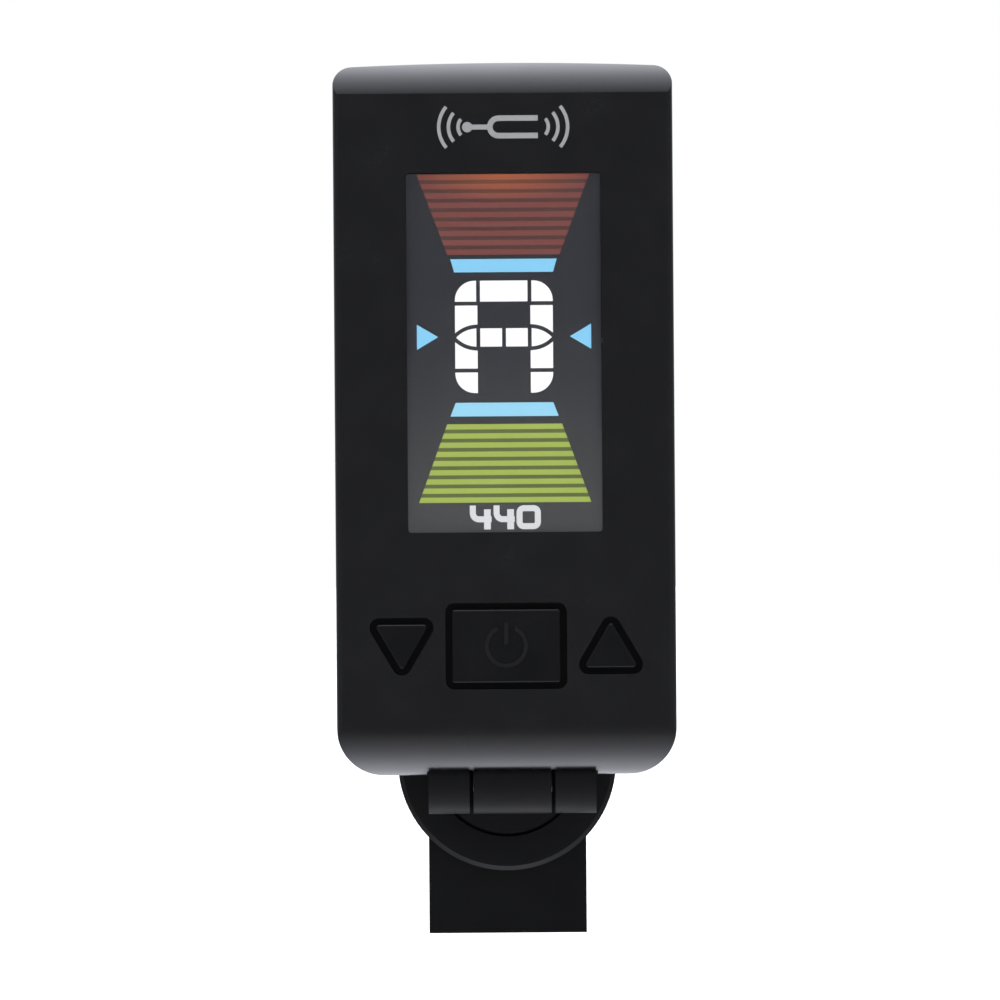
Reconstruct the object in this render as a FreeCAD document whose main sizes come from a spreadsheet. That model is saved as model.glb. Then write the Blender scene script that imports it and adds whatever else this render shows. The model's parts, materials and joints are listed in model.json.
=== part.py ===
"""A clip-on tuner for a guitar headstock: a hollow display housing on a tilting and swivelling
hinge, carried by a sprung two-arm clip. Millimetres, +X right, +Y towards the back, +Z up.
The origin is the middle of the clip's grip, between the two rubber pads."""

import FreeCAD, Part
import math
import os
import re

import Sketcher

Vector = FreeCAD.Vector

DIMENSIONS = {
    # display housing
    "housing_width": 26.0,
    "housing_height": 54.65,
    "housing_depth": 11.0,
    "shell_split": 7.0,
    "shell_gap": 0.12,
    "wall": 1.5,
    "back_wall": 1.2,
    "lip_height": 0.9,
    "lip_thickness": 0.65,
    "top_arch_radius": 245.0,
    "top_arch_rise": 0.27,
    "top_corner": 1.5,
    "bottom_corner": 3.7,
    "top_bevel_height": 2.4,
    "top_bevel_depth": 2.1,
    "top_bevel_radius": 3.4,
    "bottom_round": 3.7,
    "back_round": 1.2,
    "edge_round": 0.4,
    "core_overlap": 0.2,
    "lip_play": 0.1,
    "boss_play": 0.05,
    "pilot_floor": 0.6,
    "fence_wall": 1.0,
    "fence_height": 1.0,
    "fence_play": 0.1,
    # where the housing sits
    "swivel_height": -30.0,
    "housing_drop": 0.75,
    "housing_clearance": 0.45,
    "hinge_depth": 4.6,
    "hinge_drop": 1.38,
    "hinge_side": 0.4,
    # window and display
    "window_width": 14.9,
    "window_height": 27.5,
    "window_level": 32.4,
    "window_corner": 0.25,
    "window_flange": 1.0,
    "flange_thickness": 0.6,
    "lens_recess": 0.06,
    "lens_gap": 0.04,
    "glass_width": 17.6,
    "glass_height": 30.0,
    "glass_sheet": 0.6,
    "glass_ledge": 1.7,
    "glass_front": 2.45,
    "polariser_thickness": 0.15,
    "guide_width": 17.0,
    "guide_height": 28.3,
    "guide_thickness": 1.0,
    "holder_wall": 0.85,
    "holder_floor": 0.35,
    "holder_play": 0.05,
    "rib_width": 0.8,
    "rib_height": 6.0,
    "rib_side": 10.3,
    "rib_low": 24.0,
    "rib_high": 41.0,
    "lamp_width": 2.6,
    "lamp_pitch": 5.2,
    "lamp_low": 0.3,
    "lamp_high": 1.4,
    "polariser_margin": 0.3,
    "flex_width": 12.0,
    "flex_thickness": 0.12,
    "flex_bend_level": 15.9,
    "flex_foot": 1.8,
    "flex_bond": 1.4,
    # circuit board
    "board_front": 5.2,
    "board_thickness": 0.8,
    "board_width": 22.4,
    "board_bottom": 7.1,
    "board_top": 48.2,
    "board_corner": 1.0,
    "tooling_side": 8.8,
    "tooling_level": 23.0,
    "tooling_radius": 0.6,
    "chip_size": 7.0,
    "chip_thickness": 0.9,
    "chip_standoff": 0.1,
    "chip_level": 20.6,
    "chip_dot_radius": 0.4,
    "chip_dot_place": 2.6,
    "chip_dot_depth": 0.08,
    "lead_pitch": 0.8,
    "lead_width": 0.35,
    "lead_length": 1.0,
    "crystal_side": 8.0,
    "crystal_level": 19.0,
    "crystal_width": 3.2,
    "crystal_length": 6.0,
    "crystal_corner": 1.2,
    "small_chip_side": -9.0,
    "small_chip_level": 16.0,
    "small_chip_columns": 1.8,
    "small_chip_rows": 2.4,
    "small_chip_width": 0.8,
    "small_chip_length": 1.6,
    "small_chip_height": 0.5,
    # buttons
    "button_level": 9.95,
    "button_spacing": 8.0,
    "power_width": 9.3,
    "power_height": 6.6,
    "arrow_width": 4.9,
    "arrow_height": 4.4,
    "arrow_corner": 0.75,
    "button_gap": 0.5,
    "power_corner": 0.7,
    "button_proud": 0.15,
    "button_catch": 0.35,
    "button_flange": 0.5,
    "button_edge": 0.15,
    "icon_radius": 1.65,
    "icon_line": 0.3,
    "icon_height": 0.08,
    "icon_play": 0.1,
    "stem_gap": 0.02,
    "catch_play": 0.05,
    "stem_radius": 0.9,
    "switch_width": 3.4,
    "switch_height": 3.0,
    "switch_front": 3.7,
    "plunger_radius": 0.8,
    "plunger_front": 3.3,
    "plunger_length": 1.0,
    # battery and its door
    "cell_radius": 10.0,
    "cell_lid_radius": 9.1,
    "cell_thickness": 3.2,
    "cell_front": 6.4,
    "cell_level": 38.1,
    "cell_edge": 0.3,
    "cell_lid_height": 0.9,
    "cell_lid_lap": 0.3,
    "contact_thickness": 0.2,
    "contact_width": 4.0,
    "contact_height": 2.6,
    "contact_foot": 2.2,
    "contact_play": 0.03,
    "leaf_thickness": 0.15,
    "leaf_width": 3.0,
    "leaf_length": 8.0,
    "leaf_rise": 0.38,
    "leaf_bend": 1.6,
    "leaf_tip": 0.9,
    "thumb_rib_width": 8.0,
    "thumb_rib_height": 0.3,
    "thumb_rib_line": 0.5,
    "thumb_rib_start": 2.5,
    "thumb_rib_pitch": 1.2,
    "ring_inner": 10.25,
    "ring_outer": 11.6,
    "shelf_front": 8.7,
    "shelf_back": 9.7,
    "door_bottom": 26.4,
    "door_half_width": 10.3,
    "door_tongue": 0.7,
    "door_front": 9.85,
    "tongue_thickness": 0.5,
    "door_gap": 0.12,
    # piezo pick-up
    "piezo_level": 15.1,
    "piezo_radius": 6.0,
    "piezo_thickness": 0.2,
    "ceramic_radius": 4.5,
    "ceramic_thickness": 0.15,
    "lead_radius": 0.25,
    "plate_lead_side": -5.2,
    "ceramic_lead_side": 3.6,
    "lead_level": 24.4,
    "lead_bend": 0.8,
    # screws that hold the shells
    "low_screw_side": 9.3,
    "low_screw_level": 4.9,
    "top_screw_side": 8.6,
    "top_screw_level": 50.4,
    "boss_radius": 1.7,
    "boss_end": 6.15,
    "rear_boss_radius": 2.2,
    "screw_radius": 0.78,
    "screw_slot_depth": 0.45,
    "screw_slot_length": 1.7,
    "screw_slot_width": 0.35,
    "head_play": 0.1,
    "head_radius": 1.45,
    "head_height": 0.8,
    "low_head_back": 10.85,
    "top_head_back": 9.6,
    "screw_length": 5.6,
    # tilt hinge
    "knuckle_radius": 2.4,
    "knuckle_clearance": 0.25,
    "knuckle_half_width": 3.0,
    "ear_inner": 3.3,
    "ear_outer": 6.45,
    "shroud_wall": 1.2,
    "hinge_pin_radius": 0.75,
    "running_gap": 0.03,
    "washer_play": 0.04,
    "bracket_front": 6.2,
    "bracket_thickness": 1.35,
    "bracket_half_width": 11.1,
    "bracket_bottom": 3.6,
    "bracket_top": 6.7,
    "post_top_gap": 0.3,
    "post_lap": 0.4,
    "hinge_washer_radius": 1.9,
    "ear_play": 0.12,
    "ear_web_start": 0.6,
    "ear_web_lap": 1.0,
    "slot_head": 0.3,
    "screw_clearance": 0.07,
    # swivel
    "hub_radius": 5.6,
    "hub_raise": 0.5,
    "hub_seat": 1.2,
    "hub_gap": 0.25,
    "disc_radius": 8.5,
    "disc_thickness": 2.0,
    "disc_edge": 0.35,
    "spindle_radius": 2.1,
    "spindle_gap": 0.05,
    "spindle_end": 0.03,
    "pocket_depth": 1.2,
    "pocket_radius": 4.05,
    "washer_radius": 3.8,
    "washer_thickness": 0.4,
    "swivel_head_radius": 1.9,
    "swivel_head_height": 0.7,
    "swivel_slot_depth": 0.4,
    "swivel_slot_length": 2.0,
    "swivel_slot_width": 0.45,
    "swivel_thread_radius": 1.0,
    "swivel_thread_length": 2.6,
    # clip
    "arm_width": 12.3,
    "arm_thickness": 2.0,
    "half_throat": 3.05,
    "handle_length": 13.45,
    "jaw_top": 6.0,
    "arm_end_round": 1.5,
    "pivot_height": -24.0,
    "pivot_pin_radius": 1.0,
    "cheek_radius": 2.3,
    "front_cheek_outer": 6.15,
    "front_cheek_inner": 4.8,
    "rear_cheek_outer": 4.6,
    "rear_cheek_inner": 3.4,
    "flare_start": 1.0,
    "flare_depth": 5.95,
    "pad_gap": 2.5,
    "pad_width": 10.4,
    "pad_height": 11.0,
    "pad_recess": 0.4,
    "pad_play": 0.05,
    "pad_corner": 1.0,
    "root_lap": 0.3,
    "grip_start": 8.0,
    "grip_pitch": 2.2,
    "grip_radius": 0.7,
    "grip_lift": 0.35,
    "grip_margin": 1.2,
    "groove_length": 7.0,
    "groove_width": 0.8,
    "groove_depth": 0.4,
    "groove_pitch": 2.2,
    "spring_wire": 0.8,
    "spring_radius": 1.9,
    "spring_pitch": 0.9,
    "spring_turns": 4.0,
    "spring_leg": 12.0,
    "spring_lean": 0.056,
}

doc = FreeCAD.newDocument("clip_on_tuner")
sheet = doc.addObject("Spreadsheet::Sheet", "dims")
for row, (alias, number) in enumerate(DIMENSIONS.items(), start=1):
    sheet.set(f"A{row}", alias)
    sheet.set(f"B{row}", str(number))
    sheet.setAlias(f"B{row}", alias)
doc.recompute()

ALIASES = re.compile(r"\b(" + "|".join(sorted(DIMENSIONS, key=len, reverse=True)) + r")\b")
PLANES = {"X": "YZ_Plane", "Y": "XZ_Plane", "Z": "XY_Plane"}
TURNS = {
    "X": FreeCAD.Rotation(Vector(0, 1, 0), 90),
    "Y": FreeCAD.Rotation(Vector(1, 0, 0), -90),
    "Z": FreeCAD.Rotation(),
}
POINTS_PER_TURN = 12
SAME_PLACE = 1e-4
ACROSS = 1e-3
EMPTY = 1e-6
sub_parts = []


# ---------------------------------------------------------------- formulas

def formula(text):
    """The text with each dimension's name pointing at the spreadsheet."""
    return ALIASES.sub(r"dims.\1", str(text))


def value(text):
    """What a formula works out to, in millimetres."""
    return float(sheet.evalExpression(formula(text)))


def bind(item, path, text):
    item.setExpression(path, formula(text))


# ---------------------------------------------------------------- sketches and bodies

def arc_between(start, end, radius, bulge):
    """An arc from start to end that bulges to the left (+1) or right (-1) of the way there."""
    chord = end - start
    middle = (start + end) * 0.5
    left = Vector(-chord.y, chord.x, 0).normalize()
    drop = math.sqrt(radius ** 2 - (chord.Length / 2) ** 2)
    centre = middle - left * (drop * bulge)
    first, last = (end, start) if bulge > 0 else (start, end)
    angles = [math.atan2(p.y - centre.y, p.x - centre.x) for p in (first, last)]
    return Part.ArcOfCircle(Part.Circle(centre, Vector(0, 0, 1), radius), *angles)


def place(sketch, index, point, pair):
    """Ties one point of the sketch to two formulas."""
    for kind, text in zip(("DistanceX", "DistanceY"), pair):
        row = sketch.addConstraint(
            Sketcher.Constraint(kind, -1, 1, index, point, value(text)))
        bind(sketch, f"Constraints[{row}]", text)


def draw_circle(sketch, across, along, radius):
    centre = Vector(value(across), value(along), 0)
    index = sketch.addGeometry(Part.Circle(centre, Vector(0, 0, 1), value(radius)))
    place(sketch, index, 3, (across, along))
    row = sketch.addConstraint(Sketcher.Constraint("Radius", index, value(radius)))
    bind(sketch, f"Constraints[{row}]", radius)


def draw_outline(sketch, corners):
    """A closed outline. A corner is (across, along), or (across, along, radius, bulge) where
    an arc leaves it for the next corner."""
    points = [Vector(value(c[0]), value(c[1]), 0) for c in corners]
    ends = []
    for number, corner in enumerate(corners):
        start, end = points[number], points[(number + 1) % len(points)]
        if len(corner) == 2:
            index = sketch.addGeometry(Part.LineSegment(start, end))
            ends.append((index, 1, 2))
            continue
        radius, bulge = corner[2:]
        index = sketch.addGeometry(arc_between(start, end, value(radius), bulge))
        ends.append((index, 2, 1) if bulge > 0 else (index, 1, 2))
    for number, (index, first, last) in enumerate(ends):
        after, after_first, _ = ends[(number + 1) % len(ends)]
        sketch.addConstraint(
            Sketcher.Constraint("Coincident", index, last, after, after_first))
        place(sketch, index, first, corners[number][:2])
        if len(corners[number]) > 2:
            radius = corners[number][2]
            row = sketch.addConstraint(Sketcher.Constraint("Radius", index, value(radius)))
            bind(sketch, f"Constraints[{row}]", radius)


def rectangle(across, along):
    """The corners of a rectangle, from its two (low, high) pairs."""
    return [(across[0], along[0]), (across[1], along[0]),
            (across[1], along[1]), (across[0], along[1])]


def circle(across, along, radius):
    return {"across": across, "along": along, "radius": radius}


class Body:
    """A PartDesign body, built up by features that run between two places along an axis.
    Outlines are drawn on X, Z for the Y axis, on Y, Z for the X axis and on X, Y for Z."""

    def __init__(self, label):
        self.body = doc.addObject("PartDesign::Body", label)
        self.label = label

    def sketch(self, axis, level, loops):
        made = self.body.newObject("Sketcher::SketchObject", self.label + "_sketch")
        role = PLANES[axis]
        plane = [f for f in self.body.Origin.OriginFeatures if f.Role == role][0]
        made.AttachmentSupport = [(plane, "")]
        made.MapMode = "FlatFace"
        bind(made, "AttachmentOffset.Base.z", f"-({level})" if axis == "Y" else level)
        for loop in loops:
            if isinstance(loop, dict):
                draw_circle(made, **loop)
            else:
                draw_outline(made, loop)
        doc.recompute()
        return made

    def feature(self, kind, axis, level, span, loops):
        before = self.body.Shape.Volume if self.body.Tip else 0.0
        profile = self.sketch(axis, level, loops)
        made = self.body.newObject("PartDesign::" + kind, self.label + "_" + kind.lower())
        made.Profile = profile
        bind(made, "Length", f"({span[1]}) - ({span[0]})")
        doc.recompute()
        profile.Visibility = False
        if abs(self.body.Shape.Volume - before) < EMPTY:
            raise RuntimeError(f"{made.Name} changed nothing")
        return self

    def pad(self, axis, span, *loops):
        return self.feature("Pad", axis, span[1] if axis == "Y" else span[0], span, loops)

    def pocket(self, axis, span, *loops):
        return self.feature("Pocket", axis, span[0] if axis == "Y" else span[1], span, loops)

    def dress(self, kind, size, edges):
        """Rounds ("Fillet", "Radius") or bevels ("Chamfer", "Size") some edges."""
        base = self.body.Tip
        made = self.body.newObject("PartDesign::" + kind, self.label + "_" + kind.lower())
        made.Base = (base, edges)
        bind(made, {"Fillet": "Radius", "Chamfer": "Size"}[kind], size)
        doc.recompute()
        return self

    @property
    def shape(self):
        return self.body.Shape


# ---------------------------------------------------------------- primitives and booleans

def block(label, across, deep, high):
    """A box between three (low, high) pairs along X, Y and Z."""
    made = doc.addObject("Part::Box", label)
    for prop, axis, (low, top) in zip(
            ("Length", "Width", "Height"), "xyz", (across, deep, high)):
        bind(made, prop, f"({top}) - ({low})")
        bind(made, "Placement.Base." + axis, low)
    return made


def rod(label, axis, centre, radius, span):
    """A cylinder along X, Y or Z. centre is its place on the other two axes, in X, Y, Z order."""
    made = doc.addObject("Part::Cylinder", label)
    made.Placement = FreeCAD.Placement(Vector(), TURNS[axis])
    others = [a for a in "XYZ" if a != axis]
    for name, text in zip(others + [axis], list(centre) + [span[0]]):
        bind(made, "Placement.Base." + name.lower(), text)
    bind(made, "Radius", radius)
    bind(made, "Height", f"({span[1]}) - ({span[0]})")
    return made


def solid_of(item):
    return item.body if isinstance(item, Body) else item


def fuse(label, *items):
    made = doc.addObject("Part::MultiFuse", label)
    made.Shapes = [solid_of(i) for i in items]
    made.Refine = True
    return made


def common(label, *items):
    made = doc.addObject("Part::MultiCommon", label)
    made.Shapes = [solid_of(i) for i in items]
    return made


def cut(label, base, *tools):
    made = doc.addObject("Part::Cut", label)
    made.Base = solid_of(base)
    made.Tool = solid_of(tools[0]) if len(tools) == 1 else fuse(label + "_tools", *tools)
    made.Refine = True
    return made


def fillet(label, base, radius, edges):
    made = doc.addObject("Part::Fillet", label)
    made.Base = solid_of(base)
    made.Edges = [(int(name[4:]), value(radius), value(radius)) for name in edges]
    return made


def group(label, items):
    made = doc.addObject("Part::Compound", label)
    made.Links = [solid_of(i) for i in items]
    return made


def edges_of(shape, test):
    """The names of the edges whose middle point and direction pass a test."""
    found = []
    for number, edge in enumerate(shape.Edges, start=1):
        low, high = edge.ParameterRange
        centre = (low + high) / 2
        if test(edge.valueAt(centre), edge.tangentAt(centre)):
            found.append(f"Edge{number}")
    return found


def keep(label, item):
    """Registers a finished sub-part under its own name."""
    made = solid_of(item)
    made.Label = label
    sub_parts.append(made)
    return made


# ---------------------------------------------------------------- places the parts share

ARM_FRONT = "(-half_throat - arm_thickness)"
DISC_FRONT = f"({ARM_FRONT} - disc_thickness)"
HUB_FRONT = f"({DISC_FRONT} - hub_raise)"
BACK = f"({HUB_FRONT} - housing_clearance)"
FRONT = f"({BACK} - housing_depth)"
BOTTOM = "(swivel_height - housing_drop)"
HINGE = (f"({FRONT} + hinge_depth)", "(swivel_height - hinge_drop)")
SWIVEL = ("0", "swivel_height")
PIVOT = ("0", "pivot_height")
HANDLE_END = "(swivel_height - handle_length)"
GLASS_BACK = "(glass_front + 2 * glass_sheet)"
BOARD_BACK = "(board_front + board_thickness)"
CELL_BACK = "(cell_front + cell_thickness)"
LOW_SCREWS = [(f"{side}low_screw_side", "low_screw_level") for side in ("-", "")]
TOP_SCREWS = [(f"{side}top_screw_side", "top_screw_level") for side in ("-", "")]


def deep(distance):
    """A place in Y, measured back from the housing's front face."""
    return f"({FRONT} + {distance})"


def level(height):
    """A place in Z, measured up from the housing's bottom."""
    return f"({BOTTOM} + {height})"


def middle(size, centre="0"):
    """A (low, high) pair of a given size about a centre."""
    return f"({centre} - ({size}) / 2)", f"({centre} + ({size}) / 2)"


def layer(front, back):
    return deep(front), deep(back)


def mirrored_pair(low, high, centre="0"):
    """The two (low, high) spans on either side of a centre."""
    return [(f"{centre} - ({high})", f"{centre} - ({low})"),
            (f"{centre} + {low}", f"{centre} + {high}")]


def hinge_span(half):
    """A (low, high) pair along X that is centred on the tilt hinge."""
    return middle(f"2 * ({half})", "hinge_side")


def rounded_rectangle(across, along, radius):
    left, right = across
    low, top = along
    radius = f"({radius})"
    return [(f"{left} + {radius}", low), (f"{right} - {radius}", low, radius, -1),
            (right, f"{low} + {radius}"), (right, f"{top} - {radius}", radius, -1),
            (f"{right} - {radius}", top), (f"{left} + {radius}", top, radius, -1),
            (left, f"{top} - {radius}"), (left, f"{low} + {radius}", radius, -1)]


def arrow_outline(centre, way, inset):
    """A triangle with round corners, pointing up (way 1) or down (way -1)."""
    radius = f"(arrow_corner - {inset})"
    half = "(arrow_width / 2 - arrow_corner)"
    rise = "(arrow_height - 2 * arrow_corner)"
    side = f"sqrt({half}^2 + {rise}^2)"
    out, up = f"({radius} * {rise} / {side})", f"({radius} * {half} / {side})"
    base, tip = f"(-{rise} / 2)", f"({rise} / 2)"
    corners = [(f"-{half}", f"{base} - {radius}"),
               (half, f"{base} - {radius}", radius, -1),
               (f"{half} + {out}", f"{base} + {up}"),
               (out, f"{tip} + {up}", radius, -1),
               (f"-{out}", f"{tip} + {up}"),
               (f"-{half} - {out}", f"{base} + {up}", radius, -1)]
    turned = []
    for across, along, *arc in corners:
        bulge = [arc[0], arc[1] * way] if arc else []
        turned.append((f"{centre} + {across}",
                       level(f"button_level + {way} * ({along})"), *bulge))
    return turned


# ---------------------------------------------------------------- the hollow housing

def envelope(label, inset, back_inset, bevel):
    """The housing's form, or the same form drawn in by a wall. bevel is the arc over the top."""
    inset = f"({inset})"
    front, back = deep(inset), deep(f"housing_depth - ({back_inset})")
    low, high = level(inset), level(f"housing_height - {inset}")
    profile = Body(label + "_profile")
    profile.pad("X", ("-housing_width", "housing_width"), [
        (front, level("bottom_round")),
        (front, level("housing_height - top_bevel_height"), *bevel),
        (deep(f"top_bevel_depth + {inset}"), high),
        (f"{back} - back_round", high, "back_round", 1),
        (back, f"{high} - back_round"),
        (back, f"{low} + back_round", "back_round", 1),
        (f"{back} - back_round", low),
        (deep("bottom_round"), low, f"bottom_round - {inset}", 1),
    ])
    side = f"(housing_width / 2 - {inset})"
    shoulder = f"({high} - top_arch_rise)"
    top_corner = f"(top_corner - {inset} / 2)"
    low_corner = f"(bottom_corner - {inset})"
    outline = Body(label + "_outline")
    outline.pad("Y", layer("-1", "housing_depth + 1"), [
        (f"-{side}", f"{low} + {low_corner}", low_corner, -1),
        (f"-{side} + {low_corner}", low),
        (f"{side} - {low_corner}", low, low_corner, -1),
        (side, f"{low} + {low_corner}"),
        (side, f"{shoulder} - {top_corner}", top_corner, -1),
        (f"{side} - {top_corner}", shoulder, "top_arch_radius", -1),
        (f"-{side} + {top_corner}", shoulder, top_corner, -1),
        (f"-{side}", f"{shoulder} - {top_corner}"),
    ])
    return common(label, profile, outline)


def housing_slice(label, source, front, back):
    """The part of a form between two depths."""
    wide = ("-housing_width", "housing_width")
    tall = (level("-5"), level("housing_height + 5"))
    return common(label, source, block(label + "_range", wide, layer(front, back), tall))


def soften(label, form):
    """Rounds the long edges where the housing's front and back meet its sides."""
    left, right = middle("housing_width")
    front, back = layer("0", "housing_depth")
    plan = Body(label + "_plan")
    plan.pad("Z", (level("-1"), level("housing_height + 1")), [
        (f"{left} + edge_round", front), (f"{right} - edge_round", front, "edge_round", -1),
        (right, f"{front} + edge_round"), (right, f"{back} - back_round", "back_round", -1),
        (f"{right} - back_round", back), (f"{left} + back_round", back, "back_round", -1),
        (left, f"{back} - back_round"), (left, f"{front} + edge_round", "edge_round", -1)])
    return common(label, form, plan)


def screw_rods(label, places, radius, front, back):
    rods = []
    for number, (side, height) in enumerate(places):
        rods.append(rod(f"{label}_{number}", "Y", (side, level(height)), radius,
                        layer(front, back)))
    return rods


def arrow_places():
    """The two arrow buttons: name, sideways place and which way each points."""
    return [("down", "-button_spacing", -1), ("up", "button_spacing", 1)]


def shell_openings():
    """The window and the three button holes, cut through the front."""
    window = rounded_rectangle(middle("window_width"),
                               middle("window_height", level("window_level")),
                               "window_corner")
    power = rounded_rectangle(middle("power_width"),
                              middle("power_height", level("button_level")), "power_corner")
    arrows = [arrow_outline(side, way, "0") for _, side, way in arrow_places()]
    return [Body(f"front_opening_{number}").pad("Y", layer("-1", "wall + 1"), loop)
            for number, loop in enumerate([window, power] + arrows)]


def hinge_recess(label):
    """The hollow under the housing that the knuckles turn in, with slots for the two ears."""
    half = "(ear_outer + ear_play)"
    tools = [rod(label + "_recess", "X", HINGE, "knuckle_radius + knuckle_clearance",
                 hinge_span(half))]
    for number, span in enumerate(mirrored_pair("ear_inner - ear_play", half, "hinge_side")):
        tools.append(block(f"{label}_slot_{number}", span,
                           layer("hinge_depth", "shell_split + shell_gap"),
                           (level("-1"), level("bracket_bottom + slot_head"))))
    return tools


def shroud(label):
    return rod(label, "X", HINGE, "knuckle_radius + knuckle_clearance + shroud_wall",
               hinge_span("ear_outer + shroud_wall"))


def front_shell(outer, cavity, lip):
    walls = cut("front_walls", housing_slice("front_half", outer, "-1", "shell_split"),
                housing_slice("front_hollow", cavity, "0", "shell_split + 1"),
                housing_slice("front_rebate", lip, "shell_split - lip_height",
                              "shell_split + 1"))
    bosses = screw_rods("front_boss", LOW_SCREWS + TOP_SCREWS, "boss_radius",
                        "wall / 2", "boss_end")
    ribs = [block(f"holder_rib_{number}", middle("rib_width", side),
                  layer("wall / 2", "glass_front + glass_sheet"),
                  middle("rib_height", level(height)))
            for number, (side, height) in enumerate(
                [("-rib_side", "rib_low"), ("rib_side", "rib_low"),
                 ("-rib_side", "rib_high"), ("rib_side", "rib_high")])]
    inside = common("front_inside", fuse("front_details", shroud("front_shroud"), *bosses, *ribs),
                    housing_slice("front_limit", outer, "wall / 2", "shell_split - lip_height"))
    whole = fuse("front_whole", walls, inside)
    pilots = screw_rods("front_pilot", LOW_SCREWS + TOP_SCREWS, "screw_radius",
                        "wall + pilot_floor", "shell_split")
    keep("front_shell", cut("front_shell_solid", whole, *shell_openings(), *hinge_recess("front"),
                            *pilots))


def door_form(label, gap):
    """The battery door's plate and its two side tongues, drawn out by a gap."""
    low = level(f"door_bottom - {gap}")
    high = level("housing_height + 3")
    half = f"(door_half_width + {gap})"
    wide = f"(door_half_width + door_tongue + {gap})"
    plate = block(label + "_plate", (f"-{half}", half),
                  layer(f"door_front - {gap}", "housing_depth + 1"), (low, high))
    tongues = block(label + "_tongues", (f"-{wide}", wide),
                    layer(f"door_front - {gap}", f"door_front + tongue_thickness + {gap}"),
                    (low, high))
    return fuse(label, plate, tongues)


def rear_shell(outer, cavity, lip):
    start = "shell_split + shell_gap"
    walls = cut("rear_walls", housing_slice("rear_half", outer, start, "housing_depth + 1"),
                housing_slice("rear_hollow", cavity, "0", "housing_depth"))
    rim = cut("rear_rim",
              housing_slice("rear_lip", lip, "shell_split - lip_height + lip_play",
                            "housing_depth - back_wall"), cavity)
    ring = rod("cell_ring", "Y", ("0", level("cell_level")), "ring_outer",
               layer("boss_end", "shelf_back"))
    shelf = block("door_shelf", middle("housing_width"), layer("shelf_front", "shelf_back"),
                  (level("door_bottom - 1"), level("housing_height - wall / 2")))
    low_bosses = screw_rods("rear_low_boss", LOW_SCREWS, "rear_boss_radius",
                            "bracket_front + bracket_thickness + boss_play",
                            "housing_depth - back_wall / 2")
    top_bosses = screw_rods("rear_top_boss", TOP_SCREWS, "rear_boss_radius",
                            "boss_end + boss_play", "shelf_back")
    above_floor = layer("housing_depth - back_wall - 2 * fence_height",
                        "housing_depth - back_wall")
    piezo_fence = rod("piezo_fence", "Y", ("0", level("piezo_level")),
                      "piezo_radius + fence_wall",
                      layer("housing_depth - back_wall - fence_height",
                            "housing_depth - back_wall / 2"))
    piezo_seat = rod("piezo_seat", "Y", ("0", level("piezo_level")),
                     "piezo_radius + fence_play", above_floor)
    piezo_top = block("piezo_top", middle("3 * piezo_radius"), above_floor,
                      (level("piezo_level + fence_wall"), level("piezo_level + 2 * piezo_radius")))
    rear_core = envelope("rear_core", "wall - core_overlap", "back_wall - core_overlap", [])
    inside = common("rear_inside",
                    fuse("rear_details", ring, shelf, *low_bosses, *top_bosses,
                         cut("piezo_ring", piezo_fence, piezo_seat, piezo_top),
                         housing_slice("rear_shroud", shroud("rear_shroud_round"),
                                       "shell_split + shell_gap",
                                       "housing_depth - back_wall / 2")),
                    rear_core)
    well = rod("cell_well", "Y", ("0", level("cell_level")), "ring_inner",
               layer("wall", "housing_depth + 1"))
    heads = screw_rods("rear_low_head", LOW_SCREWS, "head_radius + head_play",
                       "low_head_back - head_height", "housing_depth + 1")
    heads += screw_rods("rear_top_head", TOP_SCREWS, "head_radius + head_play",
                        "top_head_back - head_height", "housing_depth + 1")
    shanks = screw_rods("rear_shank", LOW_SCREWS + TOP_SCREWS, "screw_radius + boss_play",
                        "wall", "housing_depth")
    contact_notch = block("contact_notch", middle("contact_width + 2 * contact_thickness"),
                          layer("wall", "shelf_front"),
                          (level("cell_level - ring_inner - 2 * contact_thickness"),
                           level("cell_level - cell_lid_radius")))
    whole = fuse("rear_whole", walls, rim, inside)
    keep("rear_shell", cut("rear_shell_solid", whole, door_form("door_space", "door_gap"), well,
                           contact_notch, *heads, *shanks, *hinge_recess("rear")))


def battery_door(outer):
    plate = common("door_skin", outer, door_form("door_solid", "0"))
    ribs = [block(f"thumb_rib_{number}", middle("thumb_rib_width"),
                  layer("housing_depth - thumb_rib_height / 2", "housing_depth + thumb_rib_height"),
                  middle("thumb_rib_line", level(
                      f"door_bottom + thumb_rib_start + {number} * thumb_rib_pitch")))
            for number in range(4)]
    keep("battery_door", fuse("battery_door_solid", plate, *ribs))


def display_window():
    high = middle("window_height - 2 * lens_gap", level("window_level"))
    lens = Body("window_lens")
    lens.pad("Y", layer("lens_recess", "wall"),
             rounded_rectangle(middle("window_width - 2 * lens_gap"), high,
                               "window_corner - lens_gap"))
    lens.pad("Y", layer("wall", "wall + flange_thickness"),
             rectangle(middle("window_width + 2 * window_flange"),
                       middle("window_height + 2 * window_flange", level("window_level"))))
    keep("display_window", lens)


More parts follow.
